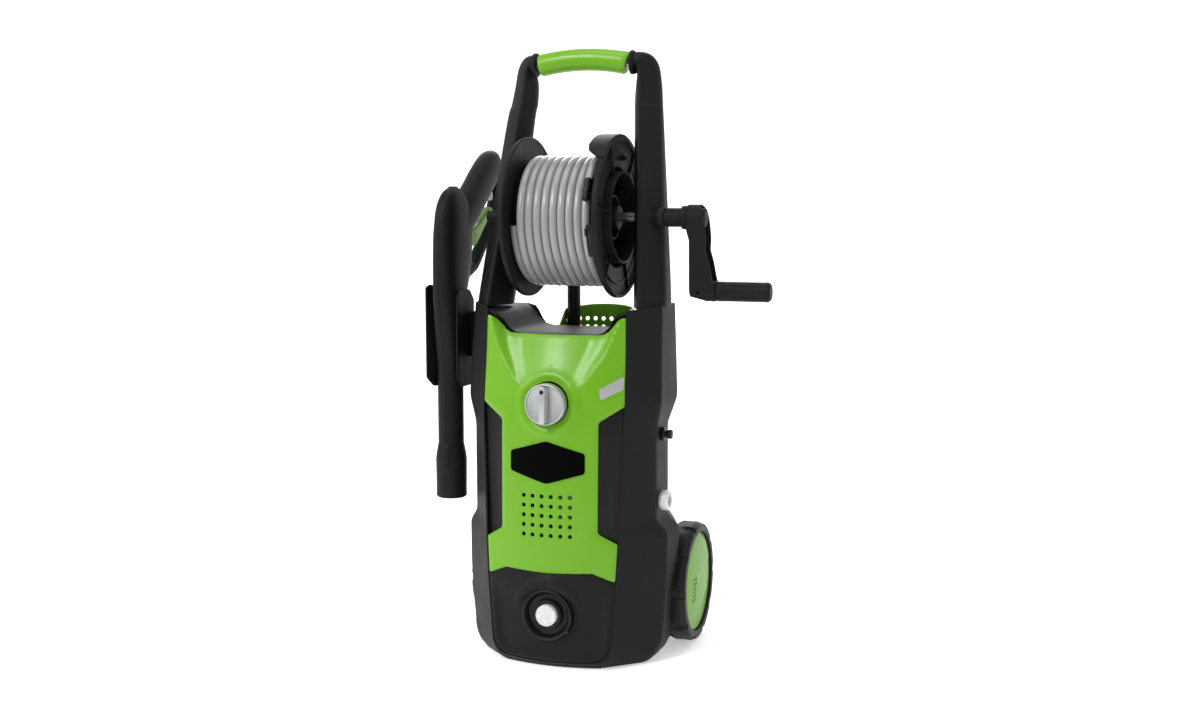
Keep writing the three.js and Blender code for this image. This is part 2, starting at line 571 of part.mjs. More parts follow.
function inletPipe() {
  const route = new THREE.CatmullRomCurve3([V(121.6, ...INLET), V(112, ...INLET), V(90, -12, 208),
    V(80, -3, 160), V(74, 0, 122), V(58, 0, 107), V(45.4, 0, 107)]);
  const section = new THREE.Shape().absarc(0, 0, 6, 0, 2 * Math.PI, false);
  const options = { steps: 14, curveSegments: 4, bevelEnabled: false, extrudePath: route };
  return toSolid(new THREE.ExtrudeGeometry(section, options));
}

function basketPlan(shrink) {
  const [near, far] = BASKET.y;
  const points = [[BASKET.halfX - shrink, near - 5]];
  for (let k = 0; k <= 10; k += 1) {
    const angle = (Math.PI * k) / 10;
    const round = (value) => Math.sign(value) * Math.abs(value) ** 0.6;
    points.push([(BASKET.halfX - shrink) * round(Math.cos(angle)),
      near + 30 + (far - near - 30 - shrink) * round(Math.sin(angle))]);
  }
  points.push([-(BASKET.halfX - shrink), near - 5]);
  return points;
}

function makeBasket() {
  const [low, high] = BASKET.z;
  const outer = prism('z', basketPlan(0), low, high + 1);
  const inner = prism('z', basketPlan(BASKET.wall), low + BASKET.wall, high + 5);
  const holes = [];
  for (let column = -2.5; column < 3; column += 1) {
    for (let row = 0; row < 5; row += 1) {
      holes.push(rod('y', [column * BASKET.pitch, 476 - row * BASKET.pitch], BASKET.holeR, 120, 170, 6));
    }
  }
  const crown = new THREE.Shape([new THREE.Vector2(-80, low - 5), new THREE.Vector2(80, low - 5)]);
  crown.lineTo(80, high - 5);
  crown.quadraticCurveTo(0, high + 6, -80, high - 5);
  const [near, far] = BASKET.y;
  const front = box([-BASKET.halfX, BASKET.halfX], [near, near + BASKET.wall], [low, high - 40]);
  const flankSide = [[near, low], [far + 5, low], [far + 5, high + 5], [near + 50, high + 5],
    [near, high - 36]];
  const flank = prism('x', flankSide, -80, 80);
  const walls = cut(outer, inner).intersect(prism('y', crown, 0, 200)).intersect(flank);
  return cut(join(walls, front), ...holes);
}

const makeSpareLance = () => turned('z', [SPARE.x, SPARE.y], [[0, SPARE.z[0]], [7, SPARE.z[0]],
  [SPARE.r, 345], [SPARE.r, 580], [7.5, 584], [7.5, SPARE.z[1]], [0, SPARE.z[1]]], 16);

// A hook that reaches back from the rear cover and ends in an upright blade.
function makeHook(y, z, direction) {
  const stem = rod('y', [0, z], 9, y + GAP, y + 34, 16);
  const tip = [z - direction * 12, z + direction * 34].sort((a, b) => a - b);
  return join(stem, box([-14, 14], [y + 34 - 1, y + 40], tip));
}

const makeCordGland = () => turned('y', [-70, 250], [[4.3, 62], [8.2, 62], [8.2, 70.3], [12, 70.3],
  [12, 75], [8, 76], [6, 92], [4.3, 92]], 12);

// ---------- motor and pump ----------
const MAST = [0, MOTOR.y];
const makeMotorCan = () => turned('z', MAST, [[6.4, MOTOR.z[0]], [MOTOR.r, MOTOR.z[0]],
  [MOTOR.r, MOTOR.z[1]], [44, MOTOR.z[1]], [44, MOTOR.z[0] + 5], [6.4, MOTOR.z[0] + 5]]);
const makeMotorCap = () => turned('z', MAST, [[6.4, 345.3], [MOTOR.r + 2, 345.3], [MOTOR.r + 2, 352],
  [20, 356], [6.4, 356]]);
const makeStator = () => tube('z', MAST, 32, 43.6, 232, 322);
const makeRotor = () => turned('z', MAST, [[0, 172], [MOTOR.shaftR, 172], [MOTOR.shaftR, 228],
  [30, 228], [30, 326], [MOTOR.shaftR, 326], [MOTOR.shaftR, 376], [0, 376]]);

function makeFan() {
  const hub = turned('z', MAST, [[6.3, 360], [14, 360], [40, 360], [40, 362], [14, 363], [12, 373],
    [6.3, 373]]);
  const blades = [];
  for (let k = 0; k < 6; k += 1) {
    blades.push(box([13, 43], [-1, 1], [361, 373]).rotate([0, 0, 60 * k]).translate([0, MOTOR.y, 0]));
  }
  return join(hub, ...blades);
}

function makeWobblePlate() {
  const disc = rod('z', [0, 0], 30, -5, 5, 24).rotate([8, 0, 0]).translate([0, MOTOR.y, 182]);
  return cut(disc, rod('z', MAST, 6.3, 150, 220, 24));
}

const makeGearbox = () => tube('z', MAST, 40, 47, 140.3, 204.7);

function makePumpHead() {
  const block = prism('x', [[-60, 50], [32, 50], [32, 128], [-48, 128], [-60, 112]], -45, 45);
  const top = rod('z', MAST, 45, 127, 140, 24);
  return join(block, top);
}

// ---------- the object ----------
const washer = new THREE.Group();

function add(name, colour, solid) {
  const [color, roughness] = COLOURS[colour];
  const metalness = ['steel', 'brass', 'copper'].includes(colour) ? 1 : 0;
  const material = new THREE.MeshStandardMaterial({ color, roughness, metalness });
  const mesh = new THREE.Mesh(toGeometry(solid), material);
  mesh.name = name;
  washer.add(mesh);
}

const SIDES = [['left', -1], ['right', 1]];
const spigotHoles = SIDES.map(([name, side]) => [name, loft(spigotRings(side, 5.6, 400))]);

add('front_panel', 'green', makeFrontPanel());
add('lower_front_panel', 'black', makeLowerFrontPanel());
add('base_tray', 'black', makeBaseTray());
add('rear_cover', 'black', makeRearCover());
add('top_deck', 'black', makeTopDeck(spigotHoles));
add('badge_plate', 'dark', raised(badge, 1.5));
add('label_inlay', 'silver', raised(inlay, 0.8));
add('outlet_bezel', 'dark', makeOutletBezel());
add('outlet_fitting', 'white', makeOutletFitting());
add('power_knob', 'silver', makeKnob());
add('switch_box', 'dark', makeSwitchBox());
SIDES.forEach(([name, side]) => {
  add(`side_shell_${name}`, 'black', makeSideShell(side));
  add(`side_insert_${name}`, 'dark', makeSideInsert(side));
  add(`post_${name}`, 'black', makePost(side));
  add(`wheel_${name}`, 'rubber', makeWheel(side));
  add(`axle_clip_${name}`, 'steel', makeAxleClip(side));
  add(`hub_cap_${name}`, 'green', makeHubCap(side));
  add(`gun_half_${name}`, 'black', makeGunHalf(side));
});
add('wheel_axle', 'steel', makeAxle());
add('handle_grip', 'green', makeHandleGrip());
add('handle_core', 'steel', makeHandleCore());
add('reel_axle', 'steel', makeReelAxle());
add('reel_drum', 'dark', makeReelDrum());
add('reel_flange_left', 'black', makeFlangeLeft());
add('reel_flange_right', 'black', makeFlangeRight());
add('hose_winding', 'hose', makeWinding());
add('hose_fitting', 'dark', makeHoseFitting());
add('hose_clip', 'dark', makeHoseClip());
add('crank_hub', 'black', makeCrankHub());
add('crank_arm', 'black', makeCrankArm());
add('crank_pin', 'steel', makeCrankPin());
add('crank_grip', 'black', makeCrankGrip());
add('gun_tube', 'steel', makeGunTube());
add('gun_trigger', 'green', makeTrigger());
add('trigger_pin', 'steel', makeTriggerPin());
add('trigger_lock', 'white', makeTriggerLock());
add('nozzle_sleeve', 'black', makeNozzleSleeve());
add('lance_holder', 'black', makeHolder());
add('water_inlet', 'white', makeWaterInlet());
add('detergent_port', 'dark', makeDetergentPort());
add('inlet_pipe', 'dark', inletPipe());
add('accessory_basket', 'green', makeBasket());
add('spare_lance', 'dark', makeSpareLance());
add('cord_hook_upper', 'black', makeHook(70, 280, 1));
add('cord_gland', 'dark', makeCordGland());
add('motor_can', 'steel', makeMotorCan());
add('motor_cap', 'dark', makeMotorCap());
add('motor_stator', 'copper', makeStator());
add('motor_rotor', 'steel', makeRotor());
add('motor_fan', 'dark', makeFan());
add('wobble_plate', 'steel', makeWobblePlate());
add('gearbox_housing', 'steel', makeGearbox());
add('pump_head', 'brass', makePumpHead());

export default washer;
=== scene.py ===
import json
import math
from functools import lru_cache

import bmesh
import bpy
from mathutils import Matrix, Vector


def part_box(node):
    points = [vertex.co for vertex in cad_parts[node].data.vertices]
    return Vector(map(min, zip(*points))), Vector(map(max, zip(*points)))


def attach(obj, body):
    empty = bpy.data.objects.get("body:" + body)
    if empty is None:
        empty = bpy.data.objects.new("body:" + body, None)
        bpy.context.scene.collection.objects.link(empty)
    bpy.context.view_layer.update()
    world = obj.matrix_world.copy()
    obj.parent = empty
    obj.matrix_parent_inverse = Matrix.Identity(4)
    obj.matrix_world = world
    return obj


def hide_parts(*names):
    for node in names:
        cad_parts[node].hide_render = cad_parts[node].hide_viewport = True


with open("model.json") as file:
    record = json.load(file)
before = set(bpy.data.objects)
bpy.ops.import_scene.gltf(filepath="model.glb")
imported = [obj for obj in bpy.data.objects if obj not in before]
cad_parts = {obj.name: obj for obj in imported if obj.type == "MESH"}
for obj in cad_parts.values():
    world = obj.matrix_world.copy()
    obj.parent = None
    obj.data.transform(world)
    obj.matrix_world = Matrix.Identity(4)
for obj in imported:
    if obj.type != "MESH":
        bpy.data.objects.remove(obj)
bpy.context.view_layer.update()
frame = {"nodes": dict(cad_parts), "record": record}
SLOTS = {row["node"]: row["material_slot"] for row in frame["record"]["subparts"]}

# Lengths below are millimetres in the part's own frame. piece() turns them into metres.
MM = 0.001


def box_mm(node):
    """Lowest and highest corner of a CAD node, in millimetres."""
    low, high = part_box(node)
    return low / MM, high / MM


def middle(node):
    low, high = box_mm(node)
    return (low + high) / 2


# ---------- places taken from the frame, and sizes that several pieces share ----------
REEL = middle("reel_drum")
WINDING = middle("hose_winding")
KNOB = middle("switch_box")
OUTLET = middle("outlet_fitting")
WHEEL = middle("wheel_axle")
CRANK = middle("crank_grip")
LANCE = middle("gun_tube")
SPARE = middle("spare_lance")
INLET = middle("water_inlet")
HOSE_D = 12.0  # hose diameter
WHEEL_R = 89.0  # wheel radius
TREAD_BLOCKS = 10  # moulded blocks round each wheel

# ---------- small mathematics ----------


def smooth(t):
    t = min(max(t, 0.0), 1.0)
    return t * t * (3 - 2 * t)


def bump(t):
    """1 at t = 0, falling smoothly to 0 at t = -1 and t = 1."""
    return smooth(1 - abs(t))


def along(stations, z):
    """Straight lines between the given (z, value) stations."""
    if z <= stations[0][0]:
        return stations[0][1]
    for (z0, v0), (z1, v1) in zip(stations, stations[1:]):
        if z <= z1:
            return v0 + (v1 - v0) * (z - z0) / (z1 - z0)
    return stations[-1][1]


def eased(stations, z, reach=5.0):
    """The same stations with their corners rounded over a length of about twice the reach."""
    offsets = (-1.0, -0.5, 0.0, 0.5, 1.0)
    return sum(along(stations, z + reach * k) for k in offsets) / len(offsets)


def rounded(points, radius=0.0, steps=4, closed=True):
    """The outline with its corners turned into arcs. A point may carry its own radius as a third number."""
    out = []
    count = len(points)
    for i, point in enumerate(points):
        here = Vector(point[:2])
        r = point[2] if len(point) > 2 else radius
        if r <= 0 or (not closed and i in (0, count - 1)):
            out.append(tuple(here))
            continue
        before = Vector(points[i - 1][:2]) - here
        after = Vector(points[(i + 1) % count][:2]) - here
        half = before.angle(after) / 2
        if half > math.radians(88.5):
            out.append(tuple(here))
            continue
        reach = min(r / math.tan(half), 0.48 * before.length, 0.48 * after.length)
        r = reach * math.tan(half)
        first, last = here + before.normalized() * reach, here + after.normalized() * reach
        centre = here + (before.normalized() + after.normalized()).normalized() * (r / math.sin(half))
        for k in range(steps + 1):
            spoke = (first - centre).slerp(last - centre, k / steps).normalized()
            out.append(tuple(centre + spoke * r))
    return out


def mirrored(half):
    """A left-right symmetric outline from its right half, which starts and ends on the middle line."""
    other = [(-p[0], *p[1:]) for p in reversed(half) if abs(p[0]) > 0.01]
    return list(half) + other


def running_lengths(line):
    """The length of a line of points from its start to each point."""
    lengths = [0.0]
    for p, q in zip(line, line[1:]):
        lengths.append(lengths[-1] + (q - p).length)
    return lengths


def span_at(lengths, s):
    """The span that running length s falls in, and the share of the span that lies before it."""
    s = min(max(s, 0.0), lengths[-1])
    i = next(k for k in range(1, len(lengths)) if s <= lengths[k] + 1e-9)
    return i, (s - lengths[i - 1]) / max(lengths[i] - lengths[i - 1], 1e-9)


def outward(a, b):
    """The direction to the right of the way from a to b in plan."""
    return Vector((b.y - a.y, -(b.x - a.x))).normalized()


def about(centre, x, r, angle):
    """The point at x and radius r about a centre line along X, at an angle up from the front."""
    return Vector((x, centre.y - r * math.cos(angle), centre.z + r * math.sin(angle)))


def rectangle(u, v, corner=0.0, steps=4):
    """An upright rectangle between two u and two v values."""
    return rounded([(u[0], v[0]), (u[1], v[0]), (u[1], v[1]), (u[0], v[1])], corner, steps)


def circle(u, v, r, count=20):
    turn = 2 * math.pi / count
    return [(u + r * math.cos(k * turn), v + r * math.sin(k * turn)) for k in range(count)]


# ---------- mesh making ----------


def link(name, data):
    """A new object of the data, in the scene."""
    obj = bpy.data.objects.new(name, data)
    bpy.context.scene.collection.objects.link(obj)
    return obj


def shown_mesh(obj):
    """An object's final shape as a bmesh."""
    graph = bpy.context.evaluated_depsgraph_get()
    mesh = bpy.data.meshes.new_from_object(obj.evaluated_get(graph))
    bm = bmesh.new()
    bm.from_mesh(mesh)
    bpy.data.meshes.remove(mesh)
    return bm


def piece(name, bm, body, slot_name, *nodes, sharp=38):
    """Turns a bmesh in millimetres into a piece that rides on a body and stands for its CAD nodes."""
    bmesh.ops.remove_doubles(bm, verts=bm.verts, dist=0.003)
    bmesh.ops.dissolve_degenerate(bm, edges=bm.edges, dist=0.002)
    bmesh.ops.recalc_face_normals(bm, faces=bm.faces)
    bmesh.ops.scale(bm, vec=(MM, MM, MM), verts=bm.verts)
    mesh = bpy.data.meshes.new(name)
    bm.to_mesh(mesh)
    bm.free()
    mesh.shade_smooth()
    mesh.set_sharp_from_angle(angle=math.radians(sharp))
    mesh.materials.append(MATERIALS[slot_name])
    obj = link(name, mesh)
    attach(obj, body)
    if nodes:
        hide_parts(*nodes)
    return obj


def moulding(node, bm, body="body", sharp=38):
    """The finer piece that stands for one CAD node, in the node's own finish."""
    return piece(f"{node}_moulding", bm, body, SLOTS[node], node, sharp=sharp)


def joined(*parts):
    """Several bmeshes as one."""
    whole = bmesh.new()
    for part in parts:
        mesh = bpy.data.meshes.new("part")
        part.to_mesh(mesh)
        part.free()
        whole.from_mesh(mesh)
        bpy.data.meshes.remove(mesh)
    return whole


def cut_into_strips(bm, spacing, axis, low, high):
    count = int((high - low) / spacing)
    normal = Vector((axis == 0, axis == 1, axis == 2))
    for k in range(1, count + 1):
        at = low + (high - low) * k / (count + 1)
        geometry = bm.verts[:] + bm.edges[:] + bm.faces[:]
        bmesh.ops.bisect_plane(bm, geom=geometry, plane_co=normal * at, plane_no=normal, dist=1e-4)


def slab(outlines, thickness, edge=1.0, spacing=None, place=None, arcs=2):
    """A flat piece with rounded rims and holes, cut into a fine grid and then bent by place(u, v, depth).
    The first outline is the outside and the others are holes. Depth runs from 0, the outer face."""
    curve = bpy.data.curves.new("flat", "CURVE")
    curve.dimensions = "2D"
    curve.fill_mode = "BOTH"
    curve.extrude = thickness / 2 - edge
    curve.bevel_depth = edge
    curve.bevel_resolution = arcs
    curve.offset = -edge
    for points in outlines:
        spline = curve.splines.new("POLY")
        spline.points.add(len(points) - 1)
        for target, point in zip(spline.points, points):
            target.co = (point[0], point[1], 0, 1)
        spline.use_cyclic_u = True
    flat = link("flat", curve)
    bm = shown_mesh(flat)
    bpy.data.objects.remove(flat)
    bpy.data.curves.remove(curve)
    bmesh.ops.remove_doubles(bm, verts=bm.verts, dist=0.004)
    bmesh.ops.dissolve_limit(bm, angle_limit=math.radians(0.3), verts=bm.verts, edges=bm.edges)
    if spacing:
        steps = spacing if isinstance(spacing, tuple) else (spacing, spacing)
        for axis in (0, 1):
            values = [v.co[axis] for v in bm.verts]
            if steps[axis]:
                cut_into_strips(bm, steps[axis], axis, min(values), max(values))
    for v in bm.verts:
        depth = thickness / 2 - v.co.z
        v.co = place(v.co.x, v.co.y, depth) if place else Vector((v.co.x, v.co.y, -depth))
    return bm


def on_axis(axis, along_axis, side=1):
    """A place() for a slab that lies square to an axis, with its outer face at along_axis."""
    def place(u, v, depth):
        at = along_axis - side * depth
        return Vector({"x": (at, u, v), "y": (u, at, v), "z": (u, v, at)}[axis])
    return place


def lathe(profile, centre, axis="x", segments=96, shape=None):
    """A closed profile of (radius, station) points turned about an axis.
    shape(angle, radius, station) may return a changed (radius, station)."""
    bm = bmesh.new()
    rings = []
    for k in range(segments):
        angle = 2 * math.pi * k / segments
        ring = []
        for r, s in profile:
            if shape:
                r, s = shape(angle, r, s)
            c, d = r * math.cos(angle), r * math.sin(angle)
            spot = {"x": (s, centre[1] - c, centre[2] + d), "y": (centre[0] + c, s, centre[2] + d),
                    "z": (centre[0] + c, centre[1] + d, s)}[axis]
            ring.append(bm.verts.new(spot))
        rings.append(ring)
    count = len(profile)
    for k in range(segments):
        here, after = rings[k], rings[(k + 1) % segments]
        for i in range(count):
            j = (i + 1) % count
            if profile[i][0] < 1e-6 and profile[j][0] < 1e-6:
                continue
            bm.faces.new((here[i], here[j], after[j], after[i]))
    bmesh.ops.remove_doubles(bm, verts=bm.verts, dist=0.004)
    return bm


def loft(rings):
    """A closed form through rings of equal counts, capped at both ends."""
    bm = bmesh.new()
    rows = [[bm.verts.new(p) for p in ring] for ring in rings]
    count = len(rows[0])
    for low, high in zip(rows, rows[1:]):
        for k in range(count):
            n = (k + 1) % count
            bm.faces.new((low[k], low[n], high[n], high[k]))
    bm.faces.new(rows[0])
    bm.faces.new(list(reversed(rows[-1])))
    return bm


# ---------- materials ----------


def new_material(name):
    material = bpy.data.materials.new(name)
    material.use_nodes = True
    nodes = material.node_tree.nodes
    return material, nodes, material.node_tree.links, nodes["Principled BSDF"]


def preset(node, values):
    """Sets a node's inputs by name."""
    for name, value in values.items():
        node.inputs[name].default_value = value
    return node


def noise(nodes, links, scale, detail=3.0, roughness=0.5):
    """A noise field fixed to the piece's own coordinates."""
    place = nodes.new("ShaderNodeTexCoord")
    field = preset(nodes.new("ShaderNodeTexNoise"), {"Scale": scale, "Detail": detail,
                                                     "Roughness": roughness})
    links.new(place.outputs["Object"], field.inputs["Vector"])
    return field.outputs["Fac"]


def between(nodes, links, value, low, high, bottom=0.3, top=0.7):
    """A value from bottom to top spread from low to high."""
    spread = preset(nodes.new("ShaderNodeMapRange"),
                    {"From Min": bottom, "From Max": top, "To Min": low, "To Max": high})
    links.new(value, spread.inputs["Value"])
    return spread.outputs["Result"]


def mottled(nodes, links, value, colour, change):
    """The colour, darker and lighter by a small share where the noise says."""
    ramp = nodes.new("ShaderNodeValToRGB")
    for stop, position, share in zip(ramp.color_ramp.elements, (0.3, 0.7), (1 - change, 1 + change)):
        stop.position = position
        stop.color = (*[c * share for c in colour], 1)
    links.new(value, ramp.inputs["Fac"])
    return ramp.outputs["Color"]


def bumps(nodes, links, height, strength, distance):
    node = preset(nodes.new("ShaderNodeBump"), {"Strength": strength, "Distance": distance})
    links.new(height, node.inputs["Height"])
    return node.outputs["Normal"]


def plastic(name, colour, rough, grain, grain_height, change=0.05, coat=0.0, shine=0.5, metallic=0.0):
    """Moulded plastic: an even colour, cloudy gloss and a fine moulded grain."""
    material, nodes, links, shader = new_material(name)
    cloud = noise(nodes, links, 14.0, 4.0)
    fine = noise(nodes, links, grain, 2.0, 0.6)
    links.new(mottled(nodes, links, cloud, colour, change), shader.inputs["Base Color"])
    links.new(between(nodes, links, cloud, rough[0], rough[1]), shader.inputs["Roughness"])
    links.new(bumps(nodes, links, fine, 0.5, grain_height), shader.inputs["Normal"])
    preset(shader, {"Specular IOR Level": shine, "Metallic": metallic, "Coat Weight": coat,
                    "Coat Roughness": 0.12})
    return material


def metal(name, colour, rough, scale, stretch, change):
    """Worked metal: long fine brush lines, or cast grain where the stretch is even."""
    material, nodes, links, shader = new_material(name)
    place = nodes.new("ShaderNodeTexCoord")
    mapping = preset(nodes.new("ShaderNodeMapping"), {"Scale": stretch})
    field = preset(nodes.new("ShaderNodeTexNoise"), {"Scale": scale, "Detail": 4.0})
    links.new(place.outputs["Object"], mapping.inputs["Vector"])
    links.new(mapping.outputs["Vector"], field.inputs["Vector"])
    value = field.outputs["Fac"]
    shader.inputs["Metallic"].default_value = 1.0
    links.new(mottled(nodes, links, value, colour, change), shader.inputs["Base Color"])
    links.new(between(nodes, links, value, rough[0], rough[1]), shader.inputs["Roughness"])
    links.new(bumps(nodes, links, value, 0.15, 0.0002), shader.inputs["Normal"])
    return material


def clear_plastic(name, colour):
    material, nodes, links, shader = new_material(name)
    cloud = noise(nodes, links, 60.0, 3.0)
    links.new(mottled(nodes, links, cloud, colour, 0.04), shader.inputs["Base Color"])
    links.new(between(nodes, links, cloud, 0.2, 0.34), shader.inputs["Roughness"])
    preset(shader, {"Transmission Weight": 0.12, "Subsurface Weight": 0.15,
                    "Subsurface Radius": (0.004, 0.004, 0.004)})
    return material


# Each row: colour, lowest and highest roughness, grain scale and height in metres, and what differs
# from plain plastic.
PLASTICS = {
    "green_plastic": ((0.122, 0.33, 0.003), (0.34, 0.42), 900, 0.00003,
                      dict(change=0.03, coat=0.06, shine=0.35)),
    "black_plastic": ((0.0112, 0.0112, 0.0115), (0.46, 0.56), 1600, 0.0001, dict(change=0.08, shine=0.09)),
    "dark_plastic": ((0.005, 0.005, 0.0053), (0.36, 0.46), 1500, 0.0001, dict(change=0.08, shine=0.22)),
    "gloss_black": ((0.0006, 0.0006, 0.0006), (0.34, 0.42), 700, 0.00002, dict(shine=0.03)),
    "silver_plastic": ((0.44, 0.445, 0.45), (0.3, 0.38), 1800, 0.00004, dict(change=0.03, metallic=0.55)),
    "hose_grey": ((0.265, 0.267, 0.265), (0.2, 0.28), 700, 0.00004, {}),
    "wheel_black": ((0.008, 0.008, 0.0083), (0.45, 0.58), 900, 0.0002, dict(change=0.1, shine=0.22)),
    "hub_green": ((0.13, 0.31, 0.03), (0.36, 0.44), 1100, 0.00004, dict(change=0.04, shine=0.2)),
}
# Each row: colour, lowest and highest roughness, noise scale, its stretch on each axis, colour change.
METALS = {
    "steel": ((0.56, 0.56, 0.55), (0.2, 0.34), 300, (1, 1, 14), 0.08),
    "aluminium": ((0.6, 0.6, 0.61), (0.4, 0.55), 500, (1, 1, 1), 0.08),
    "brass": ((0.62, 0.43, 0.16), (0.26, 0.4), 400, (8, 1, 1), 0.08),
    "copper_winding": ((0.45, 0.17, 0.06), (0.3, 0.45), 420, (1, 1, 30), 0.3),
}
MATERIALS = {name: plastic(name, *row, **extra) for name, (*row, extra) in PLASTICS.items()}
MATERIALS["clear_plastic"] = clear_plastic("clear_plastic", (0.66, 0.68, 0.68))
MATERIALS.update({name: metal(name, *row) for name, row in METALS.items()})

# A CAD node that stays as it is takes the finish of its slot in the record.
for node_name, slot_name in SLOTS.items():
    node = frame["nodes"][node_name]
    node.data.materials.clear()
    node.data.materials.append(MATERIALS[slot_name])
    node.data.shade_smooth()
    node.data.set_sharp_from_angle(angle=math.radians(30))


# ---------- camera, light and floor ----------


def make_camera():
    data = bpy.data.cameras.new("camera")
    data.lens = 43.5
    data.sensor_width = 36.0
    camera = link("camera", data)
    camera.location = (0.703, -1.980, 0.661)
    camera.rotation_euler = (math.radians(90 - 6.34), 0, math.radians(18.5))
    bpy.context.scene.camera = camera


def area_light(name, place, target_height, size, watts):
    data = bpy.data.lights.new(name, "AREA")
    data.shape = "RECTANGLE"
    data.size, data.size_y = size
    data.energy = watts
    light = link(name, data)
    light.location = place
    aim = Vector((0, 0, target_height)) - Vector(place)
    light.rotation_euler = aim.to_track_quat("-Z", "Y").to_euler()


AMBIENT = 0.42  # strength of the white world, and of the glow of the floor behind the washer

# Each light: name, place, the height on the washer's axis that it points at, size and watts.
LIGHTS = [
    ("key", (-1.0, -2.3, 2.45), 0.45, (0.7, 0.7), 50),
    ("left", (-2.3, -1.1, 1.7), 0.5, (0.9, 1.6), 30),
    ("fill", (2.6, -1.2, 1.5), 0.45, (1.0, 1.6), 12),
    ("back", (-0.8, 2.2, 1.9), 0.5, (1.6, 1.2), 22),
    ("top", (0.1, -0.2, 2.7), 0.4, (1.6, 1.2), 18),
]


def make_studio():
    for row in LIGHTS:
        area_light(*row)
    world = bpy.data.worlds.new("world")
    world.use_nodes = True
    preset(world.node_tree.nodes["Background"], {"Color": (1, 1, 1, 1), "Strength": AMBIENT})
    bpy.context.scene.world = world
    bpy.context.scene.view_settings.view_transform = "Standard"


def make_floor():
    """A sheet that lies flat under the washer, curves up behind it and glows softly from its feet back."""
    level, bend_start, bend_radius, wall_top, half_width = -0.0006, 1.6, 1.2, 6.0, 7.0
    line = [(-6.0, level), (bend_start, level)]
    for k in range(1, 17):
        angle = math.pi / 2 * k / 16
        line.append((bend_start + bend_radius * math.sin(angle), level + bend_radius * (1 - math.cos(angle))))
    line.append((bend_start + bend_radius, wall_top))
    bm = bmesh.new()
    rows = [[bm.verts.new((x, y, z)) for x in (-half_width, half_width)] for y, z in line]
    for near, far in zip(rows, rows[1:]):
        bm.faces.new((near[0], near[1], far[1], far[0])).smooth = True
    mesh = bpy.data.meshes.new("floor")
    bm.to_mesh(mesh)
    bm.free()
    material, nodes, links, shader = new_material("floor_paint")
    cloud = noise(nodes, links, 3.0)
    links.new(mottled(nodes, links, cloud, (0.88, 0.88, 0.88), 0.01), shader.inputs["Base Color"])
    preset(shader, {"Roughness": 0.6, "Emission Color": (1, 1, 1, 1)})
    place = nodes.new("ShaderNodeTexCoord")
    parts = nodes.new("ShaderNodeSeparateXYZ")
    links.new(place.outputs["Object"], parts.inputs["Vector"])
    glow = between(nodes, links, parts.outputs["Y"], 0.0, AMBIENT, -1.9, -0.7)
    links.new(glow, shader.inputs["Emission Strength"])
    mesh.materials.append(material)
    link("floor", mesh)


make_camera()
make_studio()
make_floor()


# ---------- the hose on its reel ----------
# Angles about the reel go up from the front. The hose leaves the drum on the left, winds down the
# front and up the back, one diameter to the right each turn, and ends in its fitting on top of the turns.
HOSE_R = 88.0
FITTING_X = 52.0
FITTING_ANGLE = 26.0
FITTING_SEAT = 99.9  # the sleeve lies on the turns, this far from the winding's axis
TURNS = 9.892
PITCH = 12.0
CLIMB = 0.5  # share of a turn over which the last stretch climbs onto the turns below


def hose_line():
    points = []
    steps_per_turn = 40
    first_x, last_lane = -58.5, 57.3
    start = -4.0
    total = int(TURNS * steps_per_turn)
    for k in range(total + 1):
        turn = TURNS * k / total
        angle = math.radians(start - 360 * turn)
        rise = smooth((turn - (TURNS - CLIMB)) / CLIMB)
        lane = min(first_x + PITCH * turn, last_lane)
        x = lane + (FITTING_X - lane) * rise
        r = HOSE_R - 5.5 * smooth(1 - turn / 0.35) + (FITTING_SEAT - HOSE_R) * rise
        points.append(about(WINDING, x, r, angle))
    return points


def make_hose():
    points = hose_line()
    curve = bpy.data.curves.new("wound_hose", "CURVE")
    curve.dimensions = "3D"
    curve.bevel_depth = HOSE_D / 2 * MM
    curve.bevel_resolution = 7
    curve.use_fill_caps = True
    spline = curve.splines.new("POLY")
    spline.points.add(len(points) - 1)
    for target, point in zip(spline.points, points):
        target.co = (*(point * MM), 1)
    spline.use_smooth = True
    curve.materials.append(MATERIALS["hose_grey"])
    hose = link("wound_hose", curve)
    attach(hose, "reel")
    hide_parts("hose_winding")
    return hose, points


hose, hose_points = make_hose()


# ---------- the body's outer surface ----------
# The same outline as the CAD body: a bowed front to edge F, a slanted face to corner A, a side face to
# corner B, a rear corner and a flat rear. Stations are (height, value).
FRONT_RADIUS = 230
FRONT_Y = [(0, -98), (6, -108), (15, -114), (30, -118), (125, -118.5), (340, -115), (375, -112.5),
           (410, -108.6), (449, -104), (496, -101), (515, -100)]
F_X = [(0, 72), (6, 79), (15, 84), (30, 88), (63, 91), (125, 95.8), (181, 98.6), (375, 105.8), (497, 104),
       (515, 103.5)]
A_X = [(0, 123), (6, 132), (15, 139), (30, 144), (63, 148), (125, 151.5), (188, 152), (206, 138), (338, 138),
       (376, 146), (441, 144.5), (515, 142)]
A_Y = [(0, -42), (15, -39), (45, -31), (188, -31), (206, -40), (338, -41), (376, -44), (441, -39), (515, -28)]
B_X = [(0, 126), (6, 134), (15, 141), (30, 146), (125, 154), (188, 157), (206, 139), (338, 138.5), (376, 147),
       (441, 145), (515, 142.5)]
B_Y = [(0, 5), (125, 12), (188, 20), (206, 14), (338, 12), (376, 40), (515, 38)]
REAR_Y = [(0, 99), (8, 107), (28, 112), (170, 112), (188, 92), (206, 70), (515, 70)]
TOP_RISE = [(100, 507), (103.5, 507), (142, 512), (143, 513)]
DECK = [(0, 472), (58, 472), (68, 475), (75, 482), (82, 493), (90, 501), (98, 504), (136, 505)]
WALL = 3.5
PANEL = 3.0
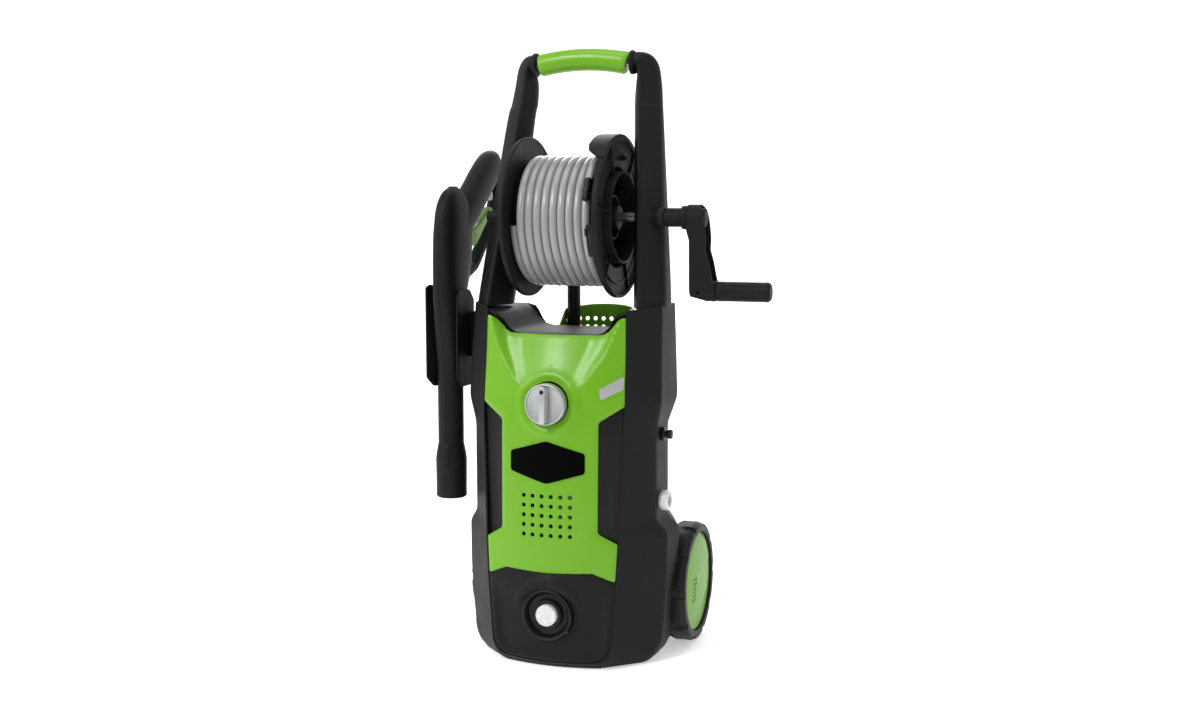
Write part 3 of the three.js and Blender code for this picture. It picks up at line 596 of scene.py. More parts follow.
SPLIT_Y = 42.0  # the side shells meet the rear cover here
ARCH_R = 94.0  # the recess round a wheel, which opens straight down below FOOT_Z
ARCH_X = 124.0
FOOT_Z = 20.0
FOOT_Y = WHEEL.y - math.sqrt(ARCH_R ** 2 - (WHEEL.z - FOOT_Z) ** 2)
CREASE = [(400, 44), (410, 54), (449, 79), (496, 97), (515, 100)]
SCOOP = [(396, 0), (472, 25), (515, 30)]
RING_R = 40.0  # soft raised ring round the knob


def scoop(x, z):
    """The hollow between the two creases that run up from beside the knob."""
    half_width = eased(CREASE, z, 6)
    t = (half_width - abs(x)) / (half_width * 0.45)
    steep = 0.6 * min(max(t / 0.26, 0), 1)
    return eased(SCOOP, z, 6) * (steep + 0.4 * smooth((t - 0.15) / 0.85)) if t > 0 else 0.0


def bow(x):
    return FRONT_RADIUS - math.sqrt(FRONT_RADIUS ** 2 - min(abs(x), 200) ** 2)


def plain_front(x, z):
    return eased(FRONT_Y, z) + bow(x)


def front_y(x, z):
    """The green panel's surface: the bowed front, its hollow and the soft ring round the knob."""
    r = math.hypot(x, z - KNOB.z)
    ring = 1.8 * bump((r - RING_R) / 9) if abs(r - RING_R) < 9 else 0.0
    inside = 1.5 * smooth((RING_R - r) / 8)
    return plain_front(x, z) + scoop(x, z) - ring + inside


def distance_to(outline, u, v):
    """Distance from a point to the nearest side of a closed outline."""
    best = 1e9
    p = Vector((u, v))
    for i, b in enumerate(outline):
        a = Vector(outline[i - 1][:2])
        side = Vector(b[:2]) - a
        t = min(max((p - a).dot(side) / max(side.length_squared, 1e-9), 0), 1)
        best = min(best, (p - a - side * t).length)
    return best


def rolled(outline, surface, depth_of_roll, width):
    """A place() that bends a slab to a front surface, with its rims rolled back."""
    def place(x, z, depth):
        rim = smooth(1 - distance_to(outline, x, z) / width)
        return Vector((x, surface(x, z) + depth + depth_of_roll * rim, z))
    return place


@lru_cache(maxsize=None)
def side_plan(z):
    """The plan line from edge F round to the middle of the rear, and its running lengths."""
    f = (eased(F_X, z) + 0.4, plain_front(eased(F_X, z), z))
    a = (eased(A_X, z), eased(A_Y, z), 9 + 22 * smooth((40 - z) / 40))
    b = (eased(B_X, z), eased(B_Y, z, 8), 14)
    rear = eased(REAR_Y, z)
    corner = (118, rear, 16)
    before = ((b[0] + 2 * corner[0]) / 3 + 4, (b[1] + 2 * corner[1]) / 3 + 2, 30)
    line = [Vector(p) for p in rounded([f, a, b, before, corner, (0, rear)], 0, 6, closed=False)]
    return line, running_lengths(line)


def on_plan(z, s):
    """The plan point at running length s, and the smooth direction that points out of the body there."""
    line, lengths = side_plan(round(z, 2))
    i, t = span_at(lengths, s)

    def out_at(k):
        return outward(line[max(k - 1, 0)], line[min(k + 1, len(line) - 1)])
    out = out_at(i - 1).lerp(out_at(i), t).normalized()
    return line[i - 1].lerp(line[i], t), out


def length_at(z, test):
    """The first running length at which test(point) holds."""
    line, lengths = side_plan(round(z, 2))
    for i in range(1, len(line)):
        if test(line[i]):
            for k in range(21):
                if test(line[i - 1].lerp(line[i], k / 20)):
                    return lengths[i - 1] + (lengths[i] - lengths[i - 1]) * k / 20
    return lengths[-1]


def side_place(side):
    """A place() for a slab in (running length, height) on one side of the body."""
    def place(s, z, depth):
        point, out = on_plan(z, s)
        point = point - out * depth
        return Vector((side * point.x, point.y, z))
    return place


# ---------- front panels ----------
PANEL_TOP = [(0, 471.6), (60, 471.6, 6), (69.5, 472.6, 4), (77, 477, 8), (84, 485, 8), (90, 492, 6),
             (96, 496, 5), (102.2, 497.5, 2)]
GREEN_HALF = PANEL_TOP + [(103.6, 494, 2), (105.4, 375, 3), (71.7, 353, 7), (71.4, 197, 7), (98.1, 181, 3),
                          (95.3, 127, 3), (64.3, 140.5, 7), (0, 138.5)]
LOWER_HALF = [(0, 138.1), (64.2, 140.1, 7), (95.4, 126.5, 3), (86.8, 10.2, 30), (0, 8)]
BADGE = [(-55, 310, 5), (0, 326, 16), (55, 310, 5), (55, 282, 5), (0, 266, 16), (-55, 282, 5)]
INLAY = [(72, 399, 2.5), (103.6, 417.6, 2), (103.6, 399, 2), (74.5, 384.5, 2.5)]
VENT_PITCH, VENT_R, VENT_Z = 13.8, 2.9, 220


def vent_circles():
    return [circle((i - 2.5) * VENT_PITCH, VENT_Z + (j - 2) * VENT_PITCH, VENT_R, 16)
            for i in range(6) for j in range(5)]


def raised_mark(outlines, height=0.45):
    """A low mark moulded on the green panel."""
    return slab(outlines, 0.9, 0.2, 2.0, lambda x, z, d: Vector((x, front_y(x, z) - height + d, z)), arcs=1)


def make_green_panel():
    outside = rounded(mirrored(GREEN_HALF), 0, 5)
    knob_hole = circle(0, KNOB.z, 30.3, 72)
    panel = slab([outside, knob_hole, *vent_circles()], PANEL, 1.0, 3.4, rolled(outside, front_y, 1.6, 5))
    zero = [rectangle((-2.6, 2.6), (421, 431), 2), rectangle((-1.5, 1.5), (422.3, 429.7), 1)]
    one = [rectangle((46, 47.4), (374.5, 382.5), 0.4, 2)]
    moulding("front_panel", joined(panel, raised_mark(zero), raised_mark(one)))


def over_front(lift):
    """A place() for a plate that lies on the front, its outer face lifted off the surface."""
    return lambda x, z, depth: Vector((x, plain_front(x, z) - lift + depth, z))


def make_badge():
    outline = rounded(BADGE, 0, 6)
    moulding("badge_plate", slab([outline], 1.5, 0.5, 3.5, over_front(1.8)))
    inlay = rounded(INLAY, 0, 5)
    moulding("label_inlay", slab([inlay], 0.9, 0.3, 3.0, over_front(1.2)))


LOWER_RIM = rounded(mirrored(LOWER_HALF), 0, 6)


def lower_y(x, z):
    """The lower panel bulges softly above the outlet's ring and is hollowed below it."""
    r = math.hypot(x, z - OUTLET.z)
    angle = math.atan2(z - OUTLET.z, abs(x) + 1e-6)
    brow = 5.0 * bump((r - 48) / 10) * smooth((angle + 0.1) / 0.9) if abs(r - 48) < 10 else 0
    inside = smooth((distance_to(LOWER_RIM, x, z) - 2.5) / 16)
    return plain_front(x, z) - brow + 7.5 * inside * smooth((122 - z) / 50)


def make_lower_panel():
    hole = circle(0, OUTLET.z, 37.3, 72)
    panel = slab([LOWER_RIM, hole], WALL, 1.2, 3.0, rolled(LOWER_RIM, lower_y, 1.4, 5))
    moulding("lower_front_panel", panel)


def make_outlet():
    face = -117.5  # the front of the panel round the outlet
    ring = rounded([(16, face + 9.5), (29, face + 9.5, 2), (33.2, face + 0.6, 3), (35, face - 0.4, 1.4),
                    (37, face + 0.6, 1.2), (37, face + 13.5), (16, face + 13.5)], 0.5, 5)
    inner = rounded([(16.2, face + 13), (16.2, face + 4), (20.5, face + 4), (21.5, face + 9.4),
                     (24, face + 13)], 0.9, 4)
    moulding("outlet_bezel", joined(lathe(ring, OUTLET, "y"), lathe(inner, OUTLET, "y")))
    low, high = box_mm("outlet_fitting")
    front = low.y
    cap = rounded([(0, front - 4), (14.2, front - 4, 1.2), (15.4, front - 2.4, 0.8), (15.4, front + 9, 0.6),
                   (14.4, front + 9.6, 0.3), (14.4, front + 11.4, 0.3), (15.2, front + 12, 0.6),
                   (15.2, -96, 0.6), (11, -96, 0.6), (11, high.y), (0, high.y)])
    moulding("outlet_fitting", lathe(cap, OUTLET, "y", 72))


def make_side_inserts():
    for name, side in (("left", -1), ("right", 1)):
        outline = rounded([(side * 66, 174), (side * 103, 174), (side * 103, 384), (side * 66, 360)], 3, 3)

        def place(x, z, depth, side=side):
            across = (abs(x) - 66) / 37
            hollow = 4 * math.sin(math.pi * min(max(across, 0), 1))
            return Vector((x, plain_front(x, z) + 6 + hollow + depth, z))
        moulding(f"side_insert_{name}", slab([outline], 3, 0.8, 3.6, place))


# ---------- side shells, rear cover, deck and base ----------


def arch_z(y):
    return math.sqrt(max(ARCH_R ** 2 - (y - WHEEL.y) ** 2, 0))


# Where the round part of the recess starts and ends on the side shell, in degrees up from the rear.
ARCH_START = math.degrees(math.acos((SPLIT_Y - WHEEL.y) / ARCH_R))
ARCH_END = 180 + math.degrees(math.asin((WHEEL.z - FOOT_Z) / ARCH_R))


def make_side_shell(name, side):
    top = []
    for k in range(13):
        s = length_at(507, lambda p: p.y >= SPLIT_Y) * k / 12
        point, _ = on_plan(509, s)
        top.append((s, along(TOP_RISE, abs(point.x)) - 0.3))
    heights = [505 - 14 * k for k in range(24)]
    rear = [(length_at(z, lambda p: p.y >= SPLIT_Y) - 0.3,
             z) for z in heights if z > WHEEL.z + arch_z(SPLIT_Y)]
    arch = []
    for k in range(25):
        angle = math.radians(ARCH_START + (ARCH_END - ARCH_START) * k / 24)
        y, z = WHEEL.y + ARCH_R * math.cos(angle), WHEEL.z + ARCH_R * math.sin(angle)
        arch.append((length_at(z, lambda p, y=y: p.x > 120 and p.y >= y), z))
    arch += [(length_at(z, lambda p: p.x > 118 and p.y >= FOOT_Y), z) for z in (12, 6)]
    foot = [(arch[-1][0] - 1, 0.0), (60, 0.0), (1, 0.0)]
    front = [(0.2, z) for z in (20, 60, 125, 180, 260, 375, 440, 495)]
    outline = [*top, *rear, *arch, *foot, *front]
    skin = slab([outline], WALL, 1.3, (3.6, 5.0), side_place(side), arcs=3)
    parts = [skin, *make_arch_walls(side, (ARCH_START, ARCH_END), -1)]
    moulding(f"side_shell_{name}", joined(*parts))


def make_arch_walls(side, angles, half):
    """The wheel's recess: a band round the wheel and the flat wall behind it, on one half of the split."""
    def at(r, angle):
        return WHEEL.y + r * math.cos(angle), WHEEL.z + r * math.sin(angle)
    turns = [math.radians(angles[0] + (angles[1] - angles[0]) * k / 32) for k in range(33)]
    edges = [(at(ARCH_R, a), at(ARCH_R + WALL, a)) for a in turns]
    if half < 0:
        edges += [((FOOT_Y, z), (FOOT_Y - WALL, z)) for z in (15, 9, 3)]
    rings = []
    for (y, z), (far_y, far_z) in edges:
        point, _ = on_plan(z, length_at(z, lambda p, y=y: p.x > 112 and p.y >= y))
        outer = max(point.x - 1.2, ARCH_X)
        rings.append([Vector((side * x, yy, zz)) for x, yy, zz in (
            (ARCH_X - WALL, y, z), (outer, y, z), (outer, far_y, far_z), (ARCH_X - WALL, far_y, far_z))])
    band = loft(rings)
    flat = [at(ARCH_R + 1, a) for a in turns]
    if half < 0:
        flat = [p for p in flat if p[0] < SPLIT_Y]
        flat += [(FOOT_Y - 1, 0.5), (SPLIT_Y, 0.5), (SPLIT_Y, flat[0][1])]
    else:
        rear = along(REAR_Y, 100) - 2
        flat = [p for p in flat if p[0] > SPLIT_Y + 0.3]
        flat += [(SPLIT_Y + 0.3, flat[-1][1]), (SPLIT_Y + 0.3, 0.5), (rear, 0.5), (rear, 169)]
    wall = slab([flat], WALL, 0.6, None, on_axis("x", side * ARCH_X, side))
    return [band, wall]


def make_rear_cover():
    """The slab runs from the split on the right round the rear to the split on the left. Its lengths are
    measured from the middle of the rear, so that left and right match."""
    def half_width(z, test):
        return side_plan(round(z, 2))[1][-1] - length_at(z, test)

    def deck_point(x):
        z = along(DECK, x)
        return (half_width(z, lambda p, x=x: p.y > 0 and p.x <= x), z)
    top = [(0, 472)] + [deck_point(x) for x in (40, 58, 68, 75, 82, 90, 98, 108)]
    top += [(half_width(505, lambda p: p.y >= 55), 505), (half_width(507, lambda p: p.y >= SPLIT_Y + 0.3),
                                                          507)]
    heights = [490, 450, 410, 376, 357, 338, 300, 250, 215, 206, 200, 194, 188, 182, 175]
    side = [(half_width(z, lambda p: p.y >= SPLIT_Y + 0.3), z) for z in heights]
    arch = []
    for y in (SPLIT_Y + 0.3, 50, 60, 70, 80, 90, 96):
        z = WHEEL.z + arch_z(y)
        arch.append((half_width(z, lambda p, y=y: p.y >= y), z))
    foot = [(half_width(z, lambda p: p.y > 30 and p.x <= ARCH_X), z) for z in (170, 120, 60, 28, 8, 0)]
    outline = mirrored([*top, *side, *arch, *foot, (0, 0)])
    gland = circle(-70, 250, 8.5, 24)

    def place(s, z, depth):
        line, lengths = side_plan(round(z, 2))
        point, out = on_plan(z, lengths[-1] - abs(s))
        point = point - out * depth
        return Vector((math.copysign(point.x, s) if abs(s) > 1e-6 else 0.0, point.y, z))
    skin = slab([outline, gland], WALL, 1.3, (4.5, 5.0), place, arcs=3)
    span = (87, math.degrees(math.acos((SPLIT_Y + 0.3 - WHEEL.y) / ARCH_R)))
    walls = make_arch_walls(1, span, 1) + make_arch_walls(-1, span, 1)
    moulding("rear_cover", joined(skin, *walls, cord_hook(150, -1, along(REAR_Y, 150) - WALL)))


def cord_hook(z, direction, y):
    """A stem that reaches back and ends in an upright blade with rounded corners."""
    stem = lathe(rounded([(0, y + 0.5), (12, y + 0.5, 2), (9, y + 5, 3), (9, y + 33, 1), (0, y + 33)]),
                 Vector((0, 0, z)), "y", 48)
    ends = sorted((z - direction * 12, z + direction * 34))
    blade = rounded([(-14, ends[0], 7), (14, ends[0], 7), (12, ends[1], 8), (-12, ends[1], 8)], 0, 6)

    def place(u, v, depth):
        return Vector((u, y + 40 - depth + 2.0 * ((v - z) / 34) ** 2 - 2.0, v))
    return joined(stem, slab([blade], 6, 1.8, 4, place, arcs=3))


def make_top_deck():
    half = [(0, -76), (58, -72), (80, -74), (97, -92, 3), (104, -80, 4), (137, -26, 8), (138, 30, 8),
            (124, 58, 8), (112, 66, 4), (0, 66)]
    outline = rounded(mirrored(half), 0, 5)

    def place(x, y, depth):
        reach = plain_front(x, 485) + scoop(x, 478) + 5.5
        y = max(y, reach)
        step = 0.8 * bump(((abs(x) * 0.16) % 1.0 - 0.5) * 2) if 78 < abs(x) < 97 else 0
        return Vector((x, y, eased(DECK, abs(x), 3) - depth - step))
    moulding("top_deck", slab([outline], 4, 1.2, (2.6, 6.0), place, arcs=3))


def make_base_tray():
    edge = [(along(F_X, z) - 0.1, z) for z in (46, 38, 30, 22, 15, 10, 6, 3, 0.2)]
    top = sorted((p[0] + 0.4 * p[0] / 90, p[1] - 0.4) for p in LOWER_RIM if p[0] >= 0 and p[1] < 44)
    chin_half = [*top, *edge, (0, 0.2)]
    chin = rounded(mirrored(chin_half), 0, 5)
    front = slab([chin], WALL, 0.4, 3.4, lambda x, z, d: Vector((x, plain_front(x, z) + d, z)))
    floor_half = [(0, -96), (60, -92, 8), (74, -84, 10), (118, -28, 10), (118, 40, 3), (0, 40)]
    floor = slab([rounded(mirrored(floor_half), 0, 5)], WALL, 1.0, None,
                 lambda x, y, d: Vector((x, y, d)))
    moulding("base_tray", joined(front, floor))


make_green_panel()
make_badge()
make_lower_panel()
make_outlet()
make_side_inserts()
make_side_shell("left", -1)
make_side_shell("right", 1)
make_rear_cover()
make_top_deck()
make_base_tray()


# ---------- handle and posts ----------
# A post's section runs B, A, D, E, C: the front ridge, then round the outside and back to the inside.
POST_LEVELS = [
    (509, (113.6, -57), (142.5, -19), (142.5, 18), (100, 18), (93.6, -9)),
    (535, (111, -50), (142, -13), (142, 24), (97, 26), (91, -1)),
    (762, (92, 10), (121, 37), (121, 58), (82, 60), (78, 43)),
    (800, (88.8, 22), (116.2, 50), (116.2, 67), (78.8, 69), (75, 53)),
]
ELBOW = [
    ((87, 29, 826), (113, 57, 826), (113, 73, 826), (79, 74, 826), (75.5, 58, 826)),
    ((86, 32, 845), (107.5, 59, 855), (107.5, 73, 855), (80, 73, 838), (77, 59, 838)),
    ((81, 32, 856), (94, 54, 870), (94, 68, 870), (79, 69, 841.5), (77, 56, 840.5)),
    ((72.3, 31, 858), (72.3, 44, 872.5), (72.3, 60, 872), (72.3, 61, 843), (72.3, 40, 841)),
]
GRIP_HALF, GRIP_RISE, GRIP_RZ, GRIP_RY = 67.0, 7.0, 16.5, 15.0
GRIP_Y, GRIP_Z = 47.5, 855.0  # the grip's ends; it rises to its middle


def curved(points, steps):
    """Points on a smooth curve through the given ones."""
    out = []
    for i in range(len(points) - 1):
        p0, p1, p2, p3 = (Vector(points[min(max(i + k, 0), len(points) - 1)]) for k in (-1, 0, 1, 2))
        for j in range(steps):
            t = j / steps
            out.append(0.5 * (2 * p1 + (p2 - p0) * t + (2 * p0 - 5 * p1 + 4 * p2 - p3) * t * t
                              + (3 * p1 - p0 - 3 * p2 + p3) * t ** 3))
    return [*out, Vector(points[-1])]


def softened(corners, reach, steps=4):
    """A ring with every corner eased over the same reach, so that rings keep equal counts."""
    ring = []
    for i, corner in enumerate(corners):
        before, after = corners[i - 1] - corner, corners[(i + 1) % len(corners)] - corner
        a = corner + before.normalized() * min(reach, before.length * 0.46)
        b = corner + after.normalized() * min(reach, after.length * 0.46)
        for k in range(steps + 1):
            t = k / steps
            ring.append(a * (1 - t) ** 2 + corner * 2 * t * (1 - t) + b * t * t)
    return ring


def make_post(name, side):
    sections = [[(x, y, z) for x, y in section] for z, *section in POST_LEVELS] + [list(s) for s in ELBOW]
    tracks = [curved([section[i] for section in sections], 7) for i in range(5)]
    rings = []
    for row in zip(*tracks):
        corners = [Vector((side * p.x, p.y, p.z)) for p in row]
        rings.append(softened(corners, 8.5))
    # The boss that holds the reel's axle is wider and longer on the right, where the crank goes through.
    low, high, end = (94, 138.6, 15.2) if side > 0 else (78, 132, 9.2)
    boss = rounded([(7.6, low, 1), (9, low, 1), (9, 120, 2), (end, 129.5, 3), (end, high, 1.6),
                    (7.6, high, 1)])
    boss = lathe([(r, side * s) for r, s in boss], REEL, "x", 64)
    collar = []
    for x, grow in ((72.2, 0.2), (72.2, 1.2), (75.6, 1.6), (77, 0.6)):
        ring = []
        for k in range(40):
            angle = 2 * math.pi * k / 40
            ring.append(Vector((side * x, GRIP_Y + (GRIP_RY + grow) * math.cos(angle),
                                GRIP_Z + 1.6 + (GRIP_RZ - 0.6 + grow) * math.sin(angle))))
        collar.append(ring)
    moulding(f"post_{name}", joined(loft(rings), boss, loft(collar)), sharp=50)


def make_grip():
    rings = []
    rows = 44
    for i in range(rows + 1):
        t = -1 + 2 * i / rows
        end = max(0, (abs(t) - 0.965) / 0.035)
        shrink = 1 - 0.1 * end * end
        ring = []
        for k in range(48):
            angle = 2 * math.pi * k / 48
            lean = 4.6 * math.sin(angle) * abs(t) ** 3 * (1 if t > 0 else -0.6)
            x = t * GRIP_HALF + lean
            lift = GRIP_RISE * (1 - t * t)
            flat = 1 - 0.05 * bump((angle / math.pi - 1.5) * 3)
            ring.append(Vector((x, GRIP_Y + GRIP_RY * shrink * math.cos(angle),
                                GRIP_Z + lift + GRIP_RZ * shrink * flat * math.sin(angle))))
        rings.append(ring)
    moulding("handle_grip", loft(rings))


# ---------- reel ----------


def on_drum(radius):
    """A place() for a slab in (X, arc length): it lies on a cylinder about the reel's axis."""
    def place(x, v, depth):
        return about(REEL, x, radius - depth, v / radius)
    return place


def drum_outline(points, radius, corner):
    """(X, degrees up from the front) turned into (X, arc length), with rounded corners."""
    return rounded([(x, math.radians(a) * radius, corner) for x, a in points])


def drum_plate(x, angles, radius, corner):
    """The outline of a plate on the drum between two X stations and two angles."""
    return drum_outline([(x[0], angles[0]), (x[1], angles[0]), (x[1], angles[1]), (x[0], angles[1])], radius,
                        corner)


def rib(x, radii, angle, width):
    """A radial rib of the reel's right flange, between two X stations and two radii."""
    flat = slab([rectangle(x, radii, 0.8, 2)], width, 0.5, None, arcs=1)
    a = math.radians(angle)
    for v in flat.verts:
        across = v.co.z + width / 2
        v.co = about(REEL, v.co.x, v.co.y, a) - across * Vector((0, math.sin(a), math.cos(a)))
    return flat


# Screw sockets on the right flange: degrees up from the front, distance from the axis and radius.
FLANGE_SOCKETS = [(12, 88, 4), (62, 92, 4.5), (102, 86, 4), (152, 90, 4), (218, 84, 4.5), (318, 90, 4),
                  (20, 52, 6), (140, 52, 6), (260, 52, 6)]


def make_flanges():
    left = rounded([(7.3, -70), (96, -70, 2), (99, -67.6, 2), (108, -67.6, 2), (110.5, -71, 1.5),
                    (115, -71, 2.4), (115, -64, 2.4), (111, -64, 1), (109.5, -65, 1), (84, -65, 1),
                    (80, -64.2, 1), (20, -64.2, 2), (20, -56, 1), (7.3, -56)])
    moulding("reel_flange_left", lathe(left, REEL, "x", 128), "reel")
    right = rounded([(7.3, 42.2), (73.4, 42.2), (73.4, 64, 1), (109, 64, 1), (111, 65.4, 1), (115, 65.4, 2),
                     (115, 74, 2), (110.8, 74, 1.4), (110.4, 67.5, 2), (96, 67.5, 1), (95, 69.5, 1),
                     (92.6, 69.5, 1), (92, 67.5, 1), (71.5, 67.5, 2), (70.5, 45, 4), (33, 45, 2), (32, 62, 1),
                     (29, 62, 1), (28, 46, 2), (18, 46, 1), (17.4, 70, 1.5), (7.3, 70)])
    parts = [lathe(right, REEL, "x", 128)]
    ring = rounded([(62.6, 46), (65.8, 46), (65.8, 77.6, 1), (62.6, 77.6, 1)], 0, 3)
    parts.append(lathe(ring, REEL))
    parts += [rib((44, 56), (17, 63), 60 * k + 20, 3) for k in range(6)]
    parts += [rib((66, 71.5), (65, 111), 60 * k + 8, 2.4) for k in range(6)]
    for angle, r, size in FLANGE_SOCKETS:
        spot = about(REEL, 0, r, math.radians(angle))
        deep = 44 if r < 70 else 66
        top = 62 if r < 70 else 73
        parts.append(lathe(rounded([(0, deep), (size, deep), (size, top, 0.8), (size - 1.6, top, 0.4),
                                    (size - 1.6, top - 4, 0.4), (0, top - 4)], 0, 2), spot, "x", 20))
    hood = drum_outline([(73.4, 45), (64, 46), (55, 49.5), (47, 53.6), (43.6, 60), (43.6, 82), (50, 92),
                         (54, 112), (62, 126), (73.4, 128)], 117.6, 7)
    parts.append(slab([hood], 4, 1.4, 3.2, on_drum(117.6), arcs=3))
    cheek = drum_outline([(73.6, 45.5), (70.4, 45.5), (70.4, 127.5), (73.6, 127.5)], 117.4, 1)
    parts.append(slab([cheek], 7, 0.9, 3.2, on_drum(117.4)))
    moulding("reel_flange_right", joined(*parts), "reel")
    drum = rounded([(73.9, -63.6), (76, -63.6, 0.8), (76, 63.5, 0.8), (73.9, 63.5)], 0, 3)
    moulding("reel_drum", lathe(drum, REEL, "x", 96), "reel")


def make_hose_end():
    """The hose's end sleeve, the strap that holds it and the clip on the flange's edge."""
    a = math.radians(FITTING_ANGLE)
    profile = rounded([(0, -16), (4.4, -16, 1.2), (5.3, -13.4, 1), (5.3, -6, 0.4), (4.8, -5.4, 0.3),
                       (4.8, -4.4, 0.3), (5.4, -3.8, 0.4), (5.6, 5, 0.6), (5.9, 12, 1), (6.3, 15.6, 0.8),
                       (0, 15.6)], 0, 3)
    sleeve = lathe(profile, Vector((FITTING_X, 0, 0)), "z", 48)
    bmesh.ops.rotate(sleeve, verts=sleeve.verts, cent=(FITTING_X, 0, 0), matrix=Matrix.Rotation(-a, 3, "X"))
    bmesh.ops.translate(sleeve, verts=sleeve.verts, vec=about(WINDING, 0, FITTING_SEAT, a))
    fitting = piece("hose_end_sleeve", sleeve, "reel", "dark_plastic", "hose_fitting")
    frame_outline = drum_plate((54, 62.8), (-31, -5), 104, 1.6)
    window = drum_plate((56.4, 60.2), (-26, -11), 104, 1)
    clip = slab([frame_outline, window], 3.4, 0.7, 2.5, on_drum(104))
    hook = slab([drum_plate((52.4, 55.2), (-14, -8), 104, 1)], 6, 0.7, 2, on_drum(105))
    strap = slab([drum_outline([(57.5, 33), (63, 33), (63.2, 57), (58.8, 57)], 103, 1.4)], 3, 0.7, 2.5,
                 on_drum(103))
    moulding("hose_clip", joined(clip, hook, strap), "reel")
    return fitting


# ---------- crank ----------
ARM_LEFT = [(514, 190), (520, 179), (532, 176.5), (604, 176.5), (617, 172.3), (655, 172.3)]
ARM_RIGHT = [(514, 213.5), (540, 213.5), (549, 210), (574, 205), (590, 200), (604, 201), (625, 199),
             (637, 197), (651, 193), (655, 188)]


def arm_half_width(z):
    if z > REEL.z:
        return math.sqrt(max(18.5 ** 2 - (z - REEL.z) ** 2, 4))
    if z < CRANK.z:
        return math.sqrt(max(15.5 ** 2 - (z - CRANK.z) ** 2, 4))
    return 15.5 + 3 * (z - CRANK.z) / (REEL.z - CRANK.z)


def arm_outline(right_inset):
    heights = [653.4 - 4.6 * k for k in range(30)]
    right = [(eased(ARM_RIGHT, z, 3) - right_inset, z) for z in heights]
    left = [(eased(ARM_LEFT, z, 3), z) for z in reversed(heights)]
    return rounded([*right, (max(right[-1][0] - 2, 190), 517.5), *left[1:]], 1.5, 2)


def make_crank():
    """The arm is a channel: two cheeks with a set-back web between them."""
    def layer(first):
        def place(x, z, depth):
            half = arm_half_width(z)
            share = (first + depth) / 36
            return Vector((x, CRANK.y - half + 2 * half * share, z))
        return place
    hole = circle(190.5, 530.5, 2.4, 20)
    parts = [slab([arm_outline(0), hole], 4, 1.4, 3.0, layer(0), arcs=3),
             slab([arm_outline(0), hole], 4, 1.4, 3.0, layer(32), arcs=3),
             slab([arm_outline(9), hole], 29, 1.0, 3.6, layer(3.5))]
    pad = rounded([(0, 196), (13, 196), (14.5, 213.5, 2), (0, 213.5)], 0, 3)
    parts.append(lathe(pad, CRANK, "x", 64))
    cap = rounded([(0, 190), (13, 190), (13.5, 197.6, 2.5), (0, 197.6)], 0, 3)
    parts.append(lathe(cap, REEL, "x", 64))
    moulding("crank_arm", joined(*parts), "reel")
    hub = rounded([(0, 139.2), (13.35, 139.2, 0.6), (13.35, 162, 1), (14.6, 163, 0.8),
                   (16.8, 163.6, 1.4), (16.8, 172, 1.2), (0, 172)])
    moulding("crank_hub", lathe(hub, REEL, "x", 72), "reel")
    low, high = box_mm("crank_grip")
    a, b = low.x, high.x
    grip = rounded([(4.4, a), (13.4, a, 1), (14.1, a + 3, 1), (14.1, a + 11, 0), (13.8, a + 12, 0),
                    (13.8, a + 24, 0), (13.8, a + 36, 0), (13.8, b - 24, 0), (13.8, b - 10, 0),
                    (14.1, b - 7, 0.6), (14.1, b - 4, 2.4), (11, b, 2.4), (0, b), (0, b - 6), (4.4, b - 6)],
                   0, 3)

    def flutes(angle, r, s):
        ridge = smooth((s - a - 11) / 4) * smooth((b - 8 - s) / 4) * (r > 9)
        return r - 1.3 * ridge * max(0.0, math.cos(10 * angle)) ** 1.5, s
    moulding("crank_grip", lathe(grip, CRANK, "x", 160, flutes), "crank_handle")


# ---------- wheels ----------


def make_wheel(name, side):
    profile = rounded([(6.2, 131), (16, 131, 2), (18, 141, 2), (66, 141, 3), (80, 131, 4), (85.5, 132.5, 3),
                       (88.9, 139, 3), (88.9, 147, 0), (88.9, 153, 0), (88.9, 160, 3), (85.5, 168, 3),
                       (74.4, 168, 1.4), (74.2, 161, 1), (66, 161, 1), (64, 145, 2), (18, 145, 2),
                       (14, 157, 1), (6.2, 157)])

    def to_notch(angle, offset):
        """Distance round the rim to the nearest notch between two blocks."""
        block = (angle / (2 * math.pi) * TREAD_BLOCKS + offset) % 1.0
        return min(block, 1 - block) * 2 * math.pi * WHEEL_R / TREAD_BLOCKS

    def tread(angle, r, s):
        outer = smooth((7.0 - to_notch(angle, 0)) / 2.2) * smooth((s - 148.5) / 1.6) * smooth((r - 80) / 3)
        inner = smooth((5.0 - to_notch(angle, 0.5)) / 2.2) * smooth((142 - s) / 1.6) * smooth((r - 83) / 3)
        return r - 2.8 * outer - 2.2 * inner, s

    def mirrored_side(angle, r, s):
        r, s = tread(angle, r, s)
        return r, side * s
    moulding(f"wheel_{name}", lathe(profile, WHEEL, "x", 240, mirrored_side), f"{name}_wheel")
    slots = [rectangle((y, y + 3.4), (z, z + 3.6), 0.6, 2)
             for y in (-40, -33.5, -27) for z in (-24, -17.5, -11, -4.5, 2, 8.5)]

    def dome(y, z, depth):
        r = math.hypot(y, z)
        line = z - 6 - 0.42 * (y + 10) + 0.004 * y * y
        facet = 1.5 * smooth((line + 0.8) / 1.6) * smooth((70 - r) / 3)
        lower = 1.3 * smooth((-z - 40 + 0.3 * y) / 2) * smooth((70 - r) / 3)
        x = 169.2 - 5.6 * (r / 73.4) ** 2 + facet - lower - depth
        return Vector((side * x, WHEEL.y + y, WHEEL.z + z))
    cap = slab([circle(0, 0, 73.3, 120), *slots], 2.6, 0.9, 3.0, dome, arcs=3)
    moulding(f"hub_cap_{name}", cap, f"{name}_wheel")


# ---------- knob ----------


